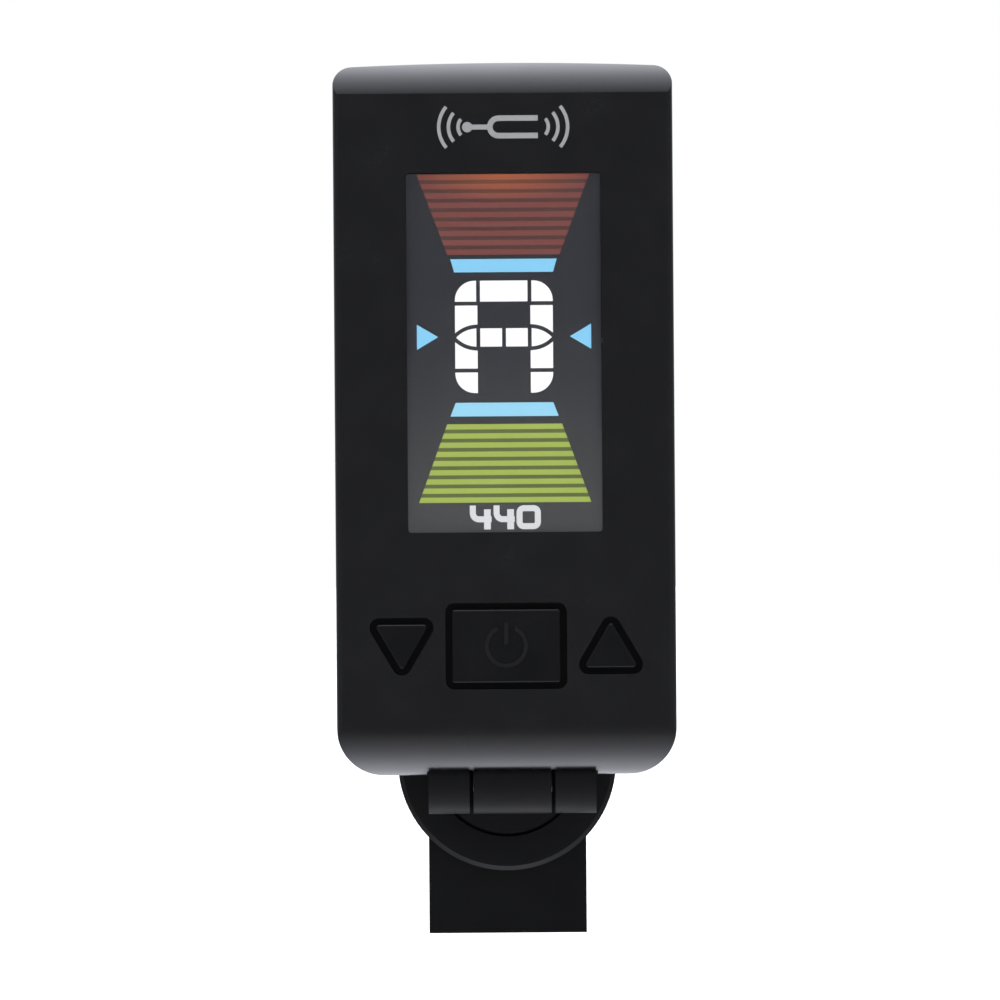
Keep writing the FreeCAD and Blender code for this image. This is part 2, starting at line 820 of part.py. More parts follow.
def display_stack():
    wide, high = middle("glass_width"), middle("glass_height", level("window_level"))
    low, top = high
    glass = fuse("glass_sheets",
                 block("glass_upper", wide, layer("glass_front", "glass_front + glass_sheet"),
                       (f"{low} + glass_ledge", top)),
                 block("glass_lower", wide,
                       layer("glass_front + glass_sheet", GLASS_BACK), high))
    glass.Refine = False
    keep("lcd_glass", glass)
    film = block("polariser", middle("glass_width - 2 * polariser_margin"),
                 layer("glass_front - polariser_thickness", "glass_front"),
                 (f"{low} + glass_ledge + polariser_margin", f"{top} - polariser_margin"))
    keep("lcd_polariser", film)
    start = f"({GLASS_BACK} + holder_play)"
    guide = block("guide", middle("guide_width"), layer(start, f"{start} + guide_thickness"),
                  (f"{top} - 2 * holder_play - guide_height", f"{top} - 2 * holder_play"))
    keep("light_guide", guide)
    lamps = [block(f"lamp_{number}", middle("lamp_width", f"{number - 1} * lamp_pitch"),
                   layer(f"{start} + holder_play", f"{start} + guide_thickness"),
                   (f"{low} + lamp_low", f"{low} + lamp_high"))
             for number in range(3)]
    keep("backlight_leds", group("lamps", lamps))


def lcd_holder():
    """The tray that keeps the glass and the light guide together."""
    back = f"({GLASS_BACK} + 2 * holder_play + guide_thickness)"
    size = ("glass_width + 2 * holder_play", "glass_height + 2 * holder_play")
    tray = Body("tray")
    centre = level("window_level")
    tray.pad("Y", layer("glass_front", f"{back} + holder_floor"),
             rectangle(middle(f"{size[0]} + 2 * holder_wall"),
                       middle(f"{size[1]} + 2 * holder_wall", centre)))
    tray.pocket("Y", layer("glass_front", back),
                rectangle(middle(size[0]), middle(size[1], centre)))
    tray.pocket("Y", layer("glass_front", "glass_front + glass_sheet + holder_play"),
                rectangle(middle("flex_width + 8 * holder_play"),
                          (f"{centre} - glass_height / 2 - 2 * holder_wall",
                           f"{centre} - glass_height / 2 + 4 * holder_play")))
    keep("lcd_holder", tray)


def lcd_flex():
    """The ribbon from the glass ledge, over the tray's edge and down to the board."""
    ledge = "(glass_front + glass_sheet)"
    foot = level("flex_bend_level - flex_foot")
    bend, start = level("flex_bend_level"), level("window_level - glass_height / 2 + flex_bond")
    ribbon = Body("ribbon")
    ribbon.pad("X", middle("flex_width"), [
        (deep(f"{ledge} - flex_thickness"), start),
        (deep(f"{ledge} - flex_thickness"), bend),
        (deep("board_front - flex_thickness"), bend),
        (deep("board_front - flex_thickness"), foot),
        (deep("board_front"), foot),
        (deep("board_front"), f"{bend} + flex_thickness"),
        (deep(ledge), f"{bend} + flex_thickness"),
        (deep(ledge), start),
    ])
    keep("lcd_flex", ribbon)


def circuit_board():
    board = Body("board")
    board.pad("Y", layer("board_front", BOARD_BACK),
              rounded_rectangle(middle("board_width"),
                                (level("board_bottom"), level("board_top")), "board_corner"))
    holes = [circle(f"{side}tooling_side", level("tooling_level"), "tooling_radius")
             for side in ("-", "")]
    board.pocket("Y", layer("board_front", BOARD_BACK), *holes)
    keep("circuit_board", board)


def board_parts():
    """The controller with its leads, the crystal and the small chip parts behind the board."""
    centre = level("chip_level")
    start = f"{BOARD_BACK} + chip_standoff"
    chip = Body("chip")
    chip.pad("Y", layer(start, f"{start} + chip_thickness"),
             rectangle(middle("chip_size"), middle("chip_size", centre)))
    chip.pocket("Y", layer(f"{start} + chip_thickness - chip_dot_depth",
                           f"{start} + chip_thickness"),
                circle("-chip_dot_place", f"{centre} + chip_dot_place", "chip_dot_radius"))
    keep("microcontroller", chip)
    feet = layer(BOARD_BACK, f"{BOARD_BACK} + lead_width")
    leads = []
    for number in range(8):
        shift = f"({number} - 3.5) * lead_pitch"
        for side, span in enumerate(mirrored_pair("chip_size / 2",
                                                  "chip_size / 2 + lead_length")):
            up = [f"{centre} + {edge}" for edge in span]
            leads.append(block(f"lead_{number}_{side}_across", span, feet,
                               middle("lead_width", f"({centre} + {shift})")))
            leads.append(block(f"lead_{number}_{side}_along",
                               middle("lead_width", f"({shift})"), feet, up))
    keep("microcontroller_leads", group("leads", leads))
    crystal = Body("crystal_can")
    crystal.pad("Y", layer(BOARD_BACK, f"{BOARD_BACK} + crystal_corner"),
                rounded_rectangle(middle("crystal_width", "crystal_side"),
                                  middle("crystal_length", level("crystal_level")),
                                  "crystal_corner"))
    keep("crystal", crystal)
    chips = []
    for number in range(6):
        across = f"(small_chip_side + {number % 2} * small_chip_columns)"
        up = level(f"small_chip_level + {number // 2} * small_chip_rows")
        chips.append(block(f"small_chip_{number}", middle("small_chip_width", across),
                           layer(BOARD_BACK, f"{BOARD_BACK} + small_chip_height"),
                           middle("small_chip_length", up)))
    keep("chip_components", group("small_chips", chips))


def tact_switches():
    places = [("power", "0")] + [(name, side) for name, side, _ in arrow_places()]
    bases = []
    for name, side in places:
        base = Body(name + "_switch")
        outline = rectangle(middle("switch_width", side),
                            middle("switch_height", level("button_level")))
        base.pad("Y", layer("switch_front", "board_front"), outline)
        base.pocket("Y", layer("switch_front", "switch_front + plunger_length"),
                    circle(side, level("button_level"), "plunger_radius + running_gap"))
        bases.append(base)
        plunger = rod(name + "_plunger_rod", "Y", (side, level("button_level")),
                      "plunger_radius",
                      layer("plunger_front", "plunger_front + plunger_length"))
        keep(name + "_plunger", plunger)
    keep("tact_switches", group("switch_bases", bases))


def front_edges(shape, depth):
    """The edges around a face that looks forward at one depth."""
    face = value(deep(depth))
    return edges_of(shape, lambda point, way: abs(point.y - face) < SAME_PLACE
                    and abs(way.y) < ACROSS)


def button_base(button, side, catch):
    """The wide foot that catches behind the housing's front, and the stem to the switch."""
    button.pad("Y", layer("wall + catch_play", "wall + catch_play + button_flange"),
               rectangle(middle(catch[0], side), middle(catch[1], level("button_level"))))
    button.pad("Y", layer("wall", "plunger_front - stem_gap"),
               circle(side, level("button_level"), "stem_radius"))


def power_button():
    button = Body("power_key")
    centre = level("button_level")
    size = ("power_width - 2 * button_gap", "power_height - 2 * button_gap")
    button.pad("Y", layer("-button_proud", "wall + catch_play"),
               rounded_rectangle(middle(size[0]), middle(size[1], centre),
                                 "power_corner - button_gap"))
    button.dress("Fillet", "button_edge", front_edges(button.shape, "-button_proud"))
    button_base(button, "0", ("power_width + 2 * button_catch",
                              "power_height + 2 * button_catch"))
    icon = layer("-button_proud - icon_height", "0")
    button.pad("Y", icon, circle("0", centre, "icon_radius"),
               circle("0", centre, "icon_radius - icon_line"))
    button.pocket("Y", layer("-button_proud - icon_height", "-button_proud"),
                  rectangle(middle("4 * icon_line"),
                            (centre, f"{centre} + icon_radius + icon_play")))
    button.pad("Y", icon, rectangle(middle("icon_line"),
                                    (f"{centre} + icon_play",
                                     f"{centre} + icon_radius + 2 * icon_play")))
    keep("power_button", button)


def arrow_buttons():
    for name, side, way in arrow_places():
        button = Body(name + "_key")
        button.pad("Y", layer("-button_proud", "wall + catch_play"),
                   arrow_outline(side, way, "button_gap"))
        button.dress("Fillet", "button_edge", front_edges(button.shape, "-button_proud"))
        button_base(button, side, ("arrow_width + 2 * button_catch",
                                   "arrow_height + 2 * button_catch"))
        keep(name + "_button", button)


def piezo_pickup():
    centre = ("0", level("piezo_level"))
    back = "(housing_depth - back_wall)"
    plate = rod("piezo_disc", "Y", centre, "piezo_radius",
                layer(f"{back} - piezo_thickness", back))
    keep("piezo_plate", plate)
    ceramic = rod("piezo_disc_ceramic", "Y", centre, "ceramic_radius",
                  layer(f"{back} - piezo_thickness - ceramic_thickness",
                        f"{back} - piezo_thickness"))
    keep("piezo_ceramic", ceramic)


def bent_wire(points, radius, bend):
    """A round wire along straight runs joined by tangent arcs."""
    edges = []
    start = points[0]
    for before, corner, after in zip(points, points[1:], points[2:]):
        inward = (before - corner).normalize()
        outward = (after - corner).normalize()
        half = inward.getAngle(outward) / 2
        reach = bend / math.tan(half)
        first, last = corner + inward * reach, corner + outward * reach
        centre = corner + (inward + outward).normalize() * (bend / math.sin(half))
        crown = centre + (corner - centre).normalize() * bend
        edges.append(Part.LineSegment(start, first).toShape())
        edges.append(Part.Arc(first, crown, last).toShape())
        start = last
    edges.append(Part.LineSegment(start, points[-1]).toShape())
    path = Part.Wire(edges)
    ring = Part.Circle(points[0], points[1] - points[0], radius).toShape()
    return path.makePipeShell([Part.Wire([ring])], True, False)


def piezo_leads():
    """Two wires from the pick-up to the back of the board."""
    plate = value(deep("housing_depth - back_wall - piezo_thickness - lead_radius"))
    ceramic = plate - value("ceramic_thickness")
    board = value(deep(BOARD_BACK))
    wires = []
    low, high = value(level("piezo_level")), value(level("lead_level"))
    for side, face in (("plate_lead_side", plate), ("ceramic_lead_side", ceramic)):
        across = value(side)
        points = [Vector(across, face, low), Vector(across, face, high),
                  Vector(across, board, high)]
        wires.append(bent_wire(points, value("lead_radius"), value("lead_bend")))
    made = doc.addObject("Part::Feature", "lead_wires")
    made.Shape = Part.makeCompound(wires)
    keep("piezo_leads", made)


def coin_cell():
    centre = ("0", level("cell_level"))
    lid = rod("cell_lid", "Y", centre, "cell_lid_radius",
              layer("cell_front", "cell_front + cell_lid_height"))
    can = rod("cell_can", "Y", centre, "cell_radius",
              layer("cell_front + cell_lid_height - cell_lid_lap", CELL_BACK))
    body = fuse("cell_body", lid, can)
    doc.recompute()
    back = value(deep(CELL_BACK))
    rim = edges_of(body.Shape, lambda point, way: abs(point.y - back) < SAME_PLACE)
    keep("coin_cell", fillet("cell_round", body, "cell_edge", rim))


def battery_contacts():
    """A bent strip that touches the cell's side, and a flat spring that touches its lid."""
    low = level("cell_level - cell_radius - contact_play")
    side = f"({low} - contact_thickness)"
    top = deep(f"{BOARD_BACK} + contact_height")
    floor = deep(f"{BOARD_BACK} + contact_thickness")
    upright = Body("side_contact")
    upright.pad("X", middle("contact_width"), [
        (deep(BOARD_BACK), side), (top, side), (top, low), (floor, low),
        (floor, f"{low} + contact_foot"), (deep(BOARD_BACK), f"{low} + contact_foot")])
    keep("battery_contact_positive", upright)
    start = level("cell_level - leaf_length / 2")
    flat, tip = deep(f"{BOARD_BACK} + leaf_thickness"), deep(f"{BOARD_BACK} + leaf_rise")
    leaf = Body("face_contact")
    leaf.pad("X", middle("leaf_width"), [
        (deep(BOARD_BACK), start), (deep(BOARD_BACK), f"{start} + leaf_length"),
        (flat, f"{start} + leaf_length"), (flat, f"{start} + leaf_bend"),
        (tip, f"{start} + leaf_tip"), (tip, start)])
    keep("battery_contact_negative", leaf)


def shell_screws():
    screws = []
    places = [(p, "low_head_back") for p in LOW_SCREWS] + [(p, "top_head_back")
                                                          for p in TOP_SCREWS]
    for number, (place_at, back) in enumerate(places):
        under = f"({back} - head_height)"
        head = screw_rods(f"screw_head_{number}", [place_at], "head_radius", under, back)[0]
        shank = screw_rods(f"screw_shank_{number}", [place_at], "screw_radius",
                           f"{under} - screw_length", under)[0]
        centre = (place_at[0], level(place_at[1]))
        cross = ("screw_slot_length", "screw_slot_width")
        slots = [block(f"screw_slot_{number}_{turn}", middle(across, centre[0]),
                       layer(f"{back} - screw_slot_depth", f"{back} + 1"),
                       middle(up, centre[1]))
                 for turn, (across, up) in enumerate([cross, cross[::-1]])]
        screws.append(cut(f"screw_{number}", fuse(f"screw_blank_{number}", head, shank), *slots))
    keep("shell_screws", group("screws", screws))


# ---------------------------------------------------------------- tilt hinge and swivel

def hinge_bracket():
    """A plate screwed inside the housing, with two ears that reach down to the hinge pin."""
    plate = block("bracket_plate", ("-bracket_half_width", "bracket_half_width"),
                  layer("bracket_front", "bracket_front + bracket_thickness"),
                  (level("bracket_bottom"), level("bracket_top")))
    pieces = [plate]
    for number, span in enumerate(mirrored_pair("ear_inner", "ear_outer", "hinge_side")):
        pieces.append(rod(f"ear_{number}", "X", HINGE, "knuckle_radius", span))
        pieces.append(block(f"ear_web_{number}", span,
                            (f"{HINGE[0]} + ear_web_start", f"{HINGE[0]} + knuckle_radius"),
                            (HINGE[1], level("bracket_bottom + ear_web_lap"))))
    holes = screw_rods("bracket_hole", LOW_SCREWS, "screw_radius + screw_clearance", "wall",
                       "housing_depth")
    holes.append(rod("bracket_bore", "X", HINGE, "hinge_pin_radius",
                     ("-housing_width", "housing_width")))
    keep("hinge_bracket", cut("bracket", fuse("bracket_blank", *pieces), *holes))


def hinge_pin():
    keep("hinge_pin", rod("tilt_pin", "X", HINGE, "hinge_pin_radius",
                          hinge_span("ear_outer")))
    rings = []
    spans = mirrored_pair("knuckle_half_width + washer_play", "ear_inner", "hinge_side")
    for number, span in enumerate(spans):
        ring = rod(f"ring_{number}", "X", HINGE, "hinge_washer_radius", span)
        hole = rod(f"ring_hole_{number}", "X", HINGE, "hinge_pin_radius",
                   hinge_span("ear_outer"))
        rings.append(cut(f"ring_cut_{number}", ring, hole))
    keep("hinge_washers", group("rings", rings))


def turntable():
    """The tilt knuckle, its short post and the hub that turns in the clip's disc."""
    wide = hinge_span("knuckle_half_width")
    knuckle = rod("knuckle", "X", HINGE, "knuckle_radius", wide)
    post = block("post", wide, (HINGE[0], f"{HUB_FRONT} + post_lap"),
                 (f"{HINGE[1]} - knuckle_radius", f"{BOTTOM} - post_top_gap"))
    hub = rod("hub", "Y", SWIVEL, "hub_radius",
              (HUB_FRONT, f"{DISC_FRONT} + hub_seat - spindle_gap"))
    floor = "(-half_throat - pocket_depth)"
    spindle = rod("spindle", "Y", SWIVEL, "spindle_radius",
                  (f"{HUB_FRONT} + post_lap", f"{floor} + spindle_end"))
    bore = rod("knuckle_bore", "X", HINGE, "hinge_pin_radius + running_gap",
               hinge_span("ear_outer"))
    thread = rod("spindle_thread", "Y", SWIVEL, "swivel_thread_radius",
                 (f"{floor} + spindle_end - swivel_thread_length", "0"))
    keep("turntable", cut("turntable_solid", fuse("turntable_blank", knuckle, post, hub, spindle),
                          bore, thread))
    start = f"({floor} + spindle_end)"
    washer = cut("swivel_washer_ring",
                 rod("swivel_ring", "Y", SWIVEL, "washer_radius",
                     (start, f"{start} + washer_thickness")),
                 rod("swivel_ring_hole", "Y", SWIVEL, "swivel_thread_radius",
                     (f"{start} - 1", f"{start} + 1")))
    keep("swivel_washer", washer)
    under = f"({start} + washer_thickness)"
    top = f"({under} + swivel_head_height)"
    head = rod("swivel_head", "Y", SWIVEL, "swivel_head_radius", (under, top))
    shank = rod("swivel_shank", "Y", SWIVEL, "swivel_thread_radius",
                (f"{start} - swivel_thread_length", under))
    cross = ("swivel_slot_length", "swivel_slot_width")
    slots = [block(f"swivel_slot_{turn}", middle(across),
                   (f"{top} - swivel_slot_depth", f"{top} + 1"), middle(up, "swivel_height"))
             for turn, (across, up) in enumerate([cross, cross[::-1]])]
    keep("swivel_screw", cut("swivel_screw_solid", fuse("swivel_screw_blank", head, shank),
                             *slots))


# ---------------------------------------------------------------- the clip

def cheeks(label, low, high, root):
    """Two lugs round the pivot, whose roots run back into an arm."""
    pieces = []
    for number, span in enumerate(mirrored_pair(low, high)):
        pieces.append(rod(f"{label}_{number}", "X", PIVOT, "cheek_radius", span))
        pieces.append(block(f"{label}_root_{number}", span, root,
                            middle("2 * cheek_radius", PIVOT[1])))
    return pieces


def front_arm():
    bar = Body("front_bar")
    face = (ARM_FRONT, "-half_throat")
    half = "(arm_width / 2)"
    corner = "arm_end_round"
    bar.pad("Y", face, [
        (f"-{half}", HANDLE_END), (half, HANDLE_END), (half, f"jaw_top - {corner}", corner, -1),
        (f"{half} - {corner}", "jaw_top"), (f"-{half} + {corner}", "jaw_top", corner, -1),
        (f"-{half}", f"jaw_top - {corner}")])
    disc = Body("disc")
    disc.pad("Y", (DISC_FRONT, f"{ARM_FRONT} + arm_thickness / 2"),
             circle(*SWIVEL, "disc_radius"))
    face = value(DISC_FRONT)
    disc.dress("Chamfer", "disc_edge", edges_of(
        disc.shape, lambda point, way: abs(point.y - face) < SAME_PLACE))
    lugs = cheeks("front_cheek", "front_cheek_inner", "front_cheek_outer",
                  ("-half_throat - arm_thickness / 2", "0"))
    seat = rod("hub_seat_cut", "Y", SWIVEL, "hub_radius + hub_gap",
               (f"{DISC_FRONT} - 1", f"{DISC_FRONT} + hub_seat"))
    bore = rod("spindle_bore", "Y", SWIVEL, "spindle_radius + spindle_gap",
               (f"{DISC_FRONT} - 1", "0"))
    pocket = rod("washer_pocket", "Y", SWIVEL, "pocket_radius",
                 ("-half_throat - pocket_depth", "0"))
    pin = rod("front_pin_bore", "X", PIVOT, "pivot_pin_radius", ("-arm_width", "arm_width"))
    recess = pad_seat("front_pad_seat", "-half_throat - pad_recess", "0")
    keep("front_arm", cut("front_arm_solid", fuse("front_arm_blank", bar, disc, *lugs),
                          seat, bore, pocket, pin, recess))


def pad_seat(label, front, back):
    return block(label, middle("pad_width + 2 * pad_play"), (front, back),
                 middle("pad_height + 2 * pad_play"))


def flare_slope():
    """How far back the rear handle leans for each millimetre down."""
    return f"(flare_depth / (pivot_height - flare_start - {HANDLE_END}))"


def rear_arm():
    knee = "(pivot_height - flare_start)"
    inner, outer = "half_throat", "(half_throat + arm_thickness)"
    bar = Body("rear_bar")
    bar.pad("X", middle("arm_width"), [
        (inner, "jaw_top"), (inner, knee), (f"{inner} + flare_depth", HANDLE_END),
        (f"{outer} + flare_depth", HANDLE_END), (outer, knee), (outer, "jaw_top")])
    half = "(arm_width / 2)"
    corner = "arm_end_round"
    outline = Body("rear_outline")
    outline.pad("Y", ("0", "2 * handle_length"), [
        (f"-{half}", f"{HANDLE_END} - 1"), (half, f"{HANDLE_END} - 1"),
        (half, f"jaw_top - {corner}", corner, -1), (f"{half} - {corner}", "jaw_top"),
        (f"-{half} + {corner}", "jaw_top", corner, -1), (f"-{half}", f"jaw_top - {corner}")])
    lugs = cheeks("rear_cheek", "rear_cheek_inner", "rear_cheek_outer",
                  ("0", "half_throat + root_lap"))
    grips = [thumb_groove(number) for number in range(4)]
    pin = rod("rear_pin_bore", "X", PIVOT, "pivot_pin_radius + running_gap",
              ("-arm_width", "arm_width"))
    recess = pad_seat("rear_pad_seat", "0", "half_throat + pad_recess")
    keep("rear_arm", cut("rear_arm_solid",
                         fuse("rear_arm_blank", common("rear_bar_trimmed", bar, outline), *lugs),
                         pin, recess, *grips))


def thumb_groove(number):
    """A round-bottomed groove across the rear handle, for the thumb."""
    down = f"(grip_start + {number} * grip_pitch)"
    height = f"(pivot_height - flare_start - {down})"
    back = f"(half_throat + arm_thickness + {flare_slope()} * {down} + grip_lift)"
    return rod(f"thumb_groove_{number}", "X", (back, height), "grip_radius",
               middle("arm_width - 2 * grip_margin"))


def pads():
    """The two rubber pads; each has one flat face with four short grooves in it."""
    gaps = {"front": ("-half_throat - pad_recess", "-pad_gap / 2"),
            "rear": ("pad_gap / 2", "half_throat + pad_recess")}
    for name, span in gaps.items():
        grooves = [rectangle(middle("groove_length"),
                             middle("groove_width", f"({number - 1.5} * groove_pitch)"))
                   for number in range(4)]
        depth = {"front": (f"{span[1]} - groove_depth", span[1]),
                 "rear": (span[0], f"{span[0]} + groove_depth")}[name]
        pad = Body(name + "_rubber")
        pad.pad("Y", span, rounded_rectangle(middle("pad_width"), middle("pad_height"),
                                             "pad_corner"))
        pad.pocket("Y", depth, *grooves)
        keep(name + "_pad", pad)


def torsion_spring():
    """A coil round the pivot pin, with a straight leg along the inside of each handle."""
    radius, pitch = value("spring_radius"), value("spring_pitch")
    lean = math.atan(value(flare_slope()))
    turned = math.pi - lean + 2 * math.pi * value("spring_turns")
    length = pitch * turned / (2 * math.pi)
    height = value("pivot_height")
    steps = round(POINTS_PER_TURN * turned / (2 * math.pi))
    points = []
    for step in range(steps + 1):
        angle = math.pi - turned * step / steps
        points.append(Vector(length * (step / steps - 0.5), radius * math.cos(angle),
                             height + radius * math.sin(angle)))
    rear_way = Vector(0, math.sin(lean), -math.cos(lean))
    front_way = Vector(0, -value("spring_lean"), -1).normalize()
    coil = Part.BSplineCurve()
    coil.interpolate(points)
    wire, leg = value("spring_wire") / 2, value("spring_leg")
    ring = Part.Circle(points[0], coil.tangent(coil.FirstParameter)[0], wire).toShape()
    turns = Part.Wire([coil.toShape()]).makePipeShell([Part.Wire([ring])], True, False)
    legs = [Part.makeCylinder(wire, leg, points[0], front_way),
            Part.makeCylinder(wire, leg, points[-1], rear_way)]
    made = doc.addObject("Part::Feature", "spring_wire_shape")
    made.Shape = turns.multiFuse(legs)
    keep("torsion_spring", made)


def pivot_pin():
    keep("pivot_pin", rod("clip_pin", "X", PIVOT, "pivot_pin_radius", middle("arm_width")))


def finish():
    doc.recompute()
    os.makedirs("parts", exist_ok=True)
    for item in sub_parts:
        troubled = "Invalid" in item.State or "Error" in item.State
        if troubled or item.Shape.isNull() or not item.Shape.isValid():
            raise RuntimeError(f"{item.Label} is not sound")
        item.Shape.exportStep(f"parts/{item.Label}.step")
        print(f"{item.Label:28s}{item.Shape.Volume:10.2f} mm3")


outer_form = soften("housing_form", envelope("housing", "0", "0", ["top_bevel_radius", 1]))
inner_form = envelope("cavity", "wall", "back_wall", [])
lip_form = envelope("lip", "wall - lip_thickness", "back_wall", [])
front_shell(outer_form, inner_form, lip_form)
rear_shell(outer_form, inner_form, lip_form)
battery_door(outer_form)
display_window()
display_stack()
lcd_holder()
lcd_flex()
circuit_board()
board_parts()
tact_switches()
power_button()
arrow_buttons()
piezo_pickup()
piezo_leads()
coin_cell()
battery_contacts()
shell_screws()
hinge_bracket()
hinge_pin()
turntable()
front_arm()
rear_arm()
pads()
pivot_pin()
torsion_spring()
finish()
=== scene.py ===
import json
import math

import bmesh
import bpy
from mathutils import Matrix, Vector


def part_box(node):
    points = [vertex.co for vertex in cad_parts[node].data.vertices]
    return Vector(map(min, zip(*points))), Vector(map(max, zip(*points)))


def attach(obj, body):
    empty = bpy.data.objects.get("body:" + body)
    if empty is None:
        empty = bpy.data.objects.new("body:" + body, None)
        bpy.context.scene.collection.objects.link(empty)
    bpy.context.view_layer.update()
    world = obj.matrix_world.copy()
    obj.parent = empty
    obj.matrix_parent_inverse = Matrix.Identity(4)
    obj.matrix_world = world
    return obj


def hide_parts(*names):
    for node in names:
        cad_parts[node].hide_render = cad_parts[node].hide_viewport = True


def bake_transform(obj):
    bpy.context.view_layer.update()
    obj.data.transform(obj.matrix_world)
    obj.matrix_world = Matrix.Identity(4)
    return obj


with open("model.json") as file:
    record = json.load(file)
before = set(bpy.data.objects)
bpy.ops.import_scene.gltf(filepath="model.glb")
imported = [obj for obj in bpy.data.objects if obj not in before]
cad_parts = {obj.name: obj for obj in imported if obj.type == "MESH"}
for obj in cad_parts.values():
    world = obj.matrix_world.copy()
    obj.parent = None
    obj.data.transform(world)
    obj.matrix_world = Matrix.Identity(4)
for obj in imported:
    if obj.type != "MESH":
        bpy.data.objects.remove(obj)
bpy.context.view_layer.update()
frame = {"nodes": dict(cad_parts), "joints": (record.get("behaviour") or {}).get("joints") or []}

MM = 0.001
JOINTS = {joint["name"]: joint for joint in frame["joints"]}


# ---------------------------------------------------------------- places read from the frame

SHELL_LOW, SHELL_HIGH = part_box("front_shell")
WINDOW_LOW, WINDOW_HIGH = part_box("display_window")
FILM_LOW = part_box("lcd_polariser")[0]
DOOR_LOW, DOOR_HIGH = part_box("battery_door")
WINDOW_FLANGE = 1.0 * MM  # the hidden border that holds the window in the shell
SCREEN_X = (WINDOW_LOW.x + WINDOW_HIGH.x) / 2
SCREEN_Z = (WINDOW_LOW.z + WINDOW_HIGH.z) / 2
SCREEN_WIDTH = WINDOW_HIGH.x - WINDOW_LOW.x - 2 * WINDOW_FLANGE
SCREEN_HEIGHT = WINDOW_HIGH.z - WINDOW_LOW.z - 2 * WINDOW_FLANGE
SCREEN_BACK = FILM_LOW.y


# ---------------------------------------------------------------- shader nodes

def new_material(name):
    """A material with its node tree and its Principled shader."""
    material = bpy.data.materials.new(name)
    material.use_nodes = True
    tree = material.node_tree
    shader = tree.nodes["Principled BSDF"]
    return material, tree, shader


def add(tree, kind, **settings):
    """A node with its properties, or the values of its inputs, set by name."""
    node = tree.nodes.new(kind)
    for name, setting in settings.items():
        if hasattr(node, name):
            setattr(node, name, setting)
        else:
            node.inputs[name.replace("_", " ")].default_value = setting
    return node


def surface_place(tree, scale=(1.0, 1.0, 1.0)):
    """Where a point is on the object, in metres, so the detail keeps its true size."""
    place = tree.nodes.new("ShaderNodeTexCoord")
    mapping = tree.nodes.new("ShaderNodeMapping")
    mapping.inputs["Scale"].default_value = scale
    tree.links.new(place.outputs["Object"], mapping.inputs["Vector"])
    return mapping.outputs["Vector"]


def noise(tree, place, scale, detail=3.0, roughness=0.55):
    made = add(tree, "ShaderNodeTexNoise", Scale=scale, Detail=detail, Roughness=roughness)
    tree.links.new(place, made.inputs["Vector"])
    return made.outputs["Fac"]


def spread(tree, source, low, high, start=0.3, end=0.7):
    """Maps a pattern to a range of numbers."""
    made = tree.nodes.new("ShaderNodeMapRange")
    made.inputs["From Min"].default_value = start
    made.inputs["From Max"].default_value = end
    made.inputs["To Min"].default_value = low
    made.inputs["To Max"].default_value = high
    tree.links.new(source, made.inputs["Value"])
    return made.outputs["Result"]


def tint(tree, source, low, high):
    """Maps a pattern to a mix of two colours."""
    made = tree.nodes.new("ShaderNodeMix")
    made.data_type = "RGBA"
    made.inputs["A"].default_value = (*low, 1)
    made.inputs["B"].default_value = (*high, 1)
    tree.links.new(source, made.inputs["Factor"])
    return made.outputs["Result"]


def colour_ramp(tree, stops):
    """A ramp through (position, colour) stops."""
    made = tree.nodes.new("ShaderNodeValToRGB")
    ends = made.color_ramp.elements
    ends[0].position, ends[1].position = stops[0][0], stops[-1][0]
    ends[0].color, ends[1].color = (*stops[0][1], 1), (*stops[-1][1], 1)
    for position, colour in stops[1:-1]:
        ends.new(position).color = (*colour, 1)
    return made


def raise_surface(tree, shader, source, height):
    """Gives a shader relief of a true height, in metres."""
    made = tree.nodes.new("ShaderNodeBump")
    made.inputs["Strength"].default_value = 1.0
    made.inputs["Distance"].default_value = height
    tree.links.new(source, made.inputs["Height"])
    tree.links.new(made.outputs["Normal"], shader.inputs["Normal"])


FLAT_POINTINESS = 0.52
EDGE_POINTINESS = 0.6


def sharp_edge_mask(tree):
    """1 on sharp convex edges and 0 on flat faces, from how pointed the surface is."""
    geometry = tree.nodes.new("ShaderNodeNewGeometry")
    return spread(tree, geometry.outputs["Pointiness"], 0.0, 1.0,
                  FLAT_POINTINESS, EDGE_POINTINESS)


# ---------------------------------------------------------------- materials

FLOW_SCALE = 260.0


def moulded_plastic(name, dark, light, gloss, dull, grain, depth, shine):
    """Moulded plastic: a fine spark-eroded grain, faint flow marks and polish that varies."""
    material, tree, shader = new_material(name)
    place = surface_place(tree)
    flow = noise(tree, place, FLOW_SCALE, 4.0)
    fine = noise(tree, place, grain, 2.0, 0.7)
    # The flow pattern and the sharp convex edges both pull the colour towards the paler shade.
    blend = add(tree, "ShaderNodeMath", operation="MAXIMUM")
    tree.links.new(spread(tree, flow, 0.0, 0.6), blend.inputs[0])
    tree.links.new(sharp_edge_mask(tree), blend.inputs[1])
    tree.links.new(tint(tree, blend.outputs[0], dark, light), shader.inputs["Base Color"])
    tree.links.new(spread(tree, flow, gloss, dull), shader.inputs["Roughness"])
    raise_surface(tree, shader, fine, depth)
    shader.inputs["IOR"].default_value = 1.5
    shader.inputs["Specular IOR Level"].default_value = shine
    return material


def housing_plastic():
    return moulded_plastic("housing_satin_black", (0.0020, 0.0020, 0.0024),
                           (0.0036, 0.0036, 0.0042), gloss=0.2, dull=0.28, grain=9000.0,
                           depth=0.0007 * MM, shine=1.0)


def key_plastic():
    return moulded_plastic("key_satin_black", (0.0022, 0.0022, 0.0024),
                           (0.0045, 0.0045, 0.0048), gloss=0.34, dull=0.42, grain=9000.0,
                           depth=0.002 * MM, shine=0.4)


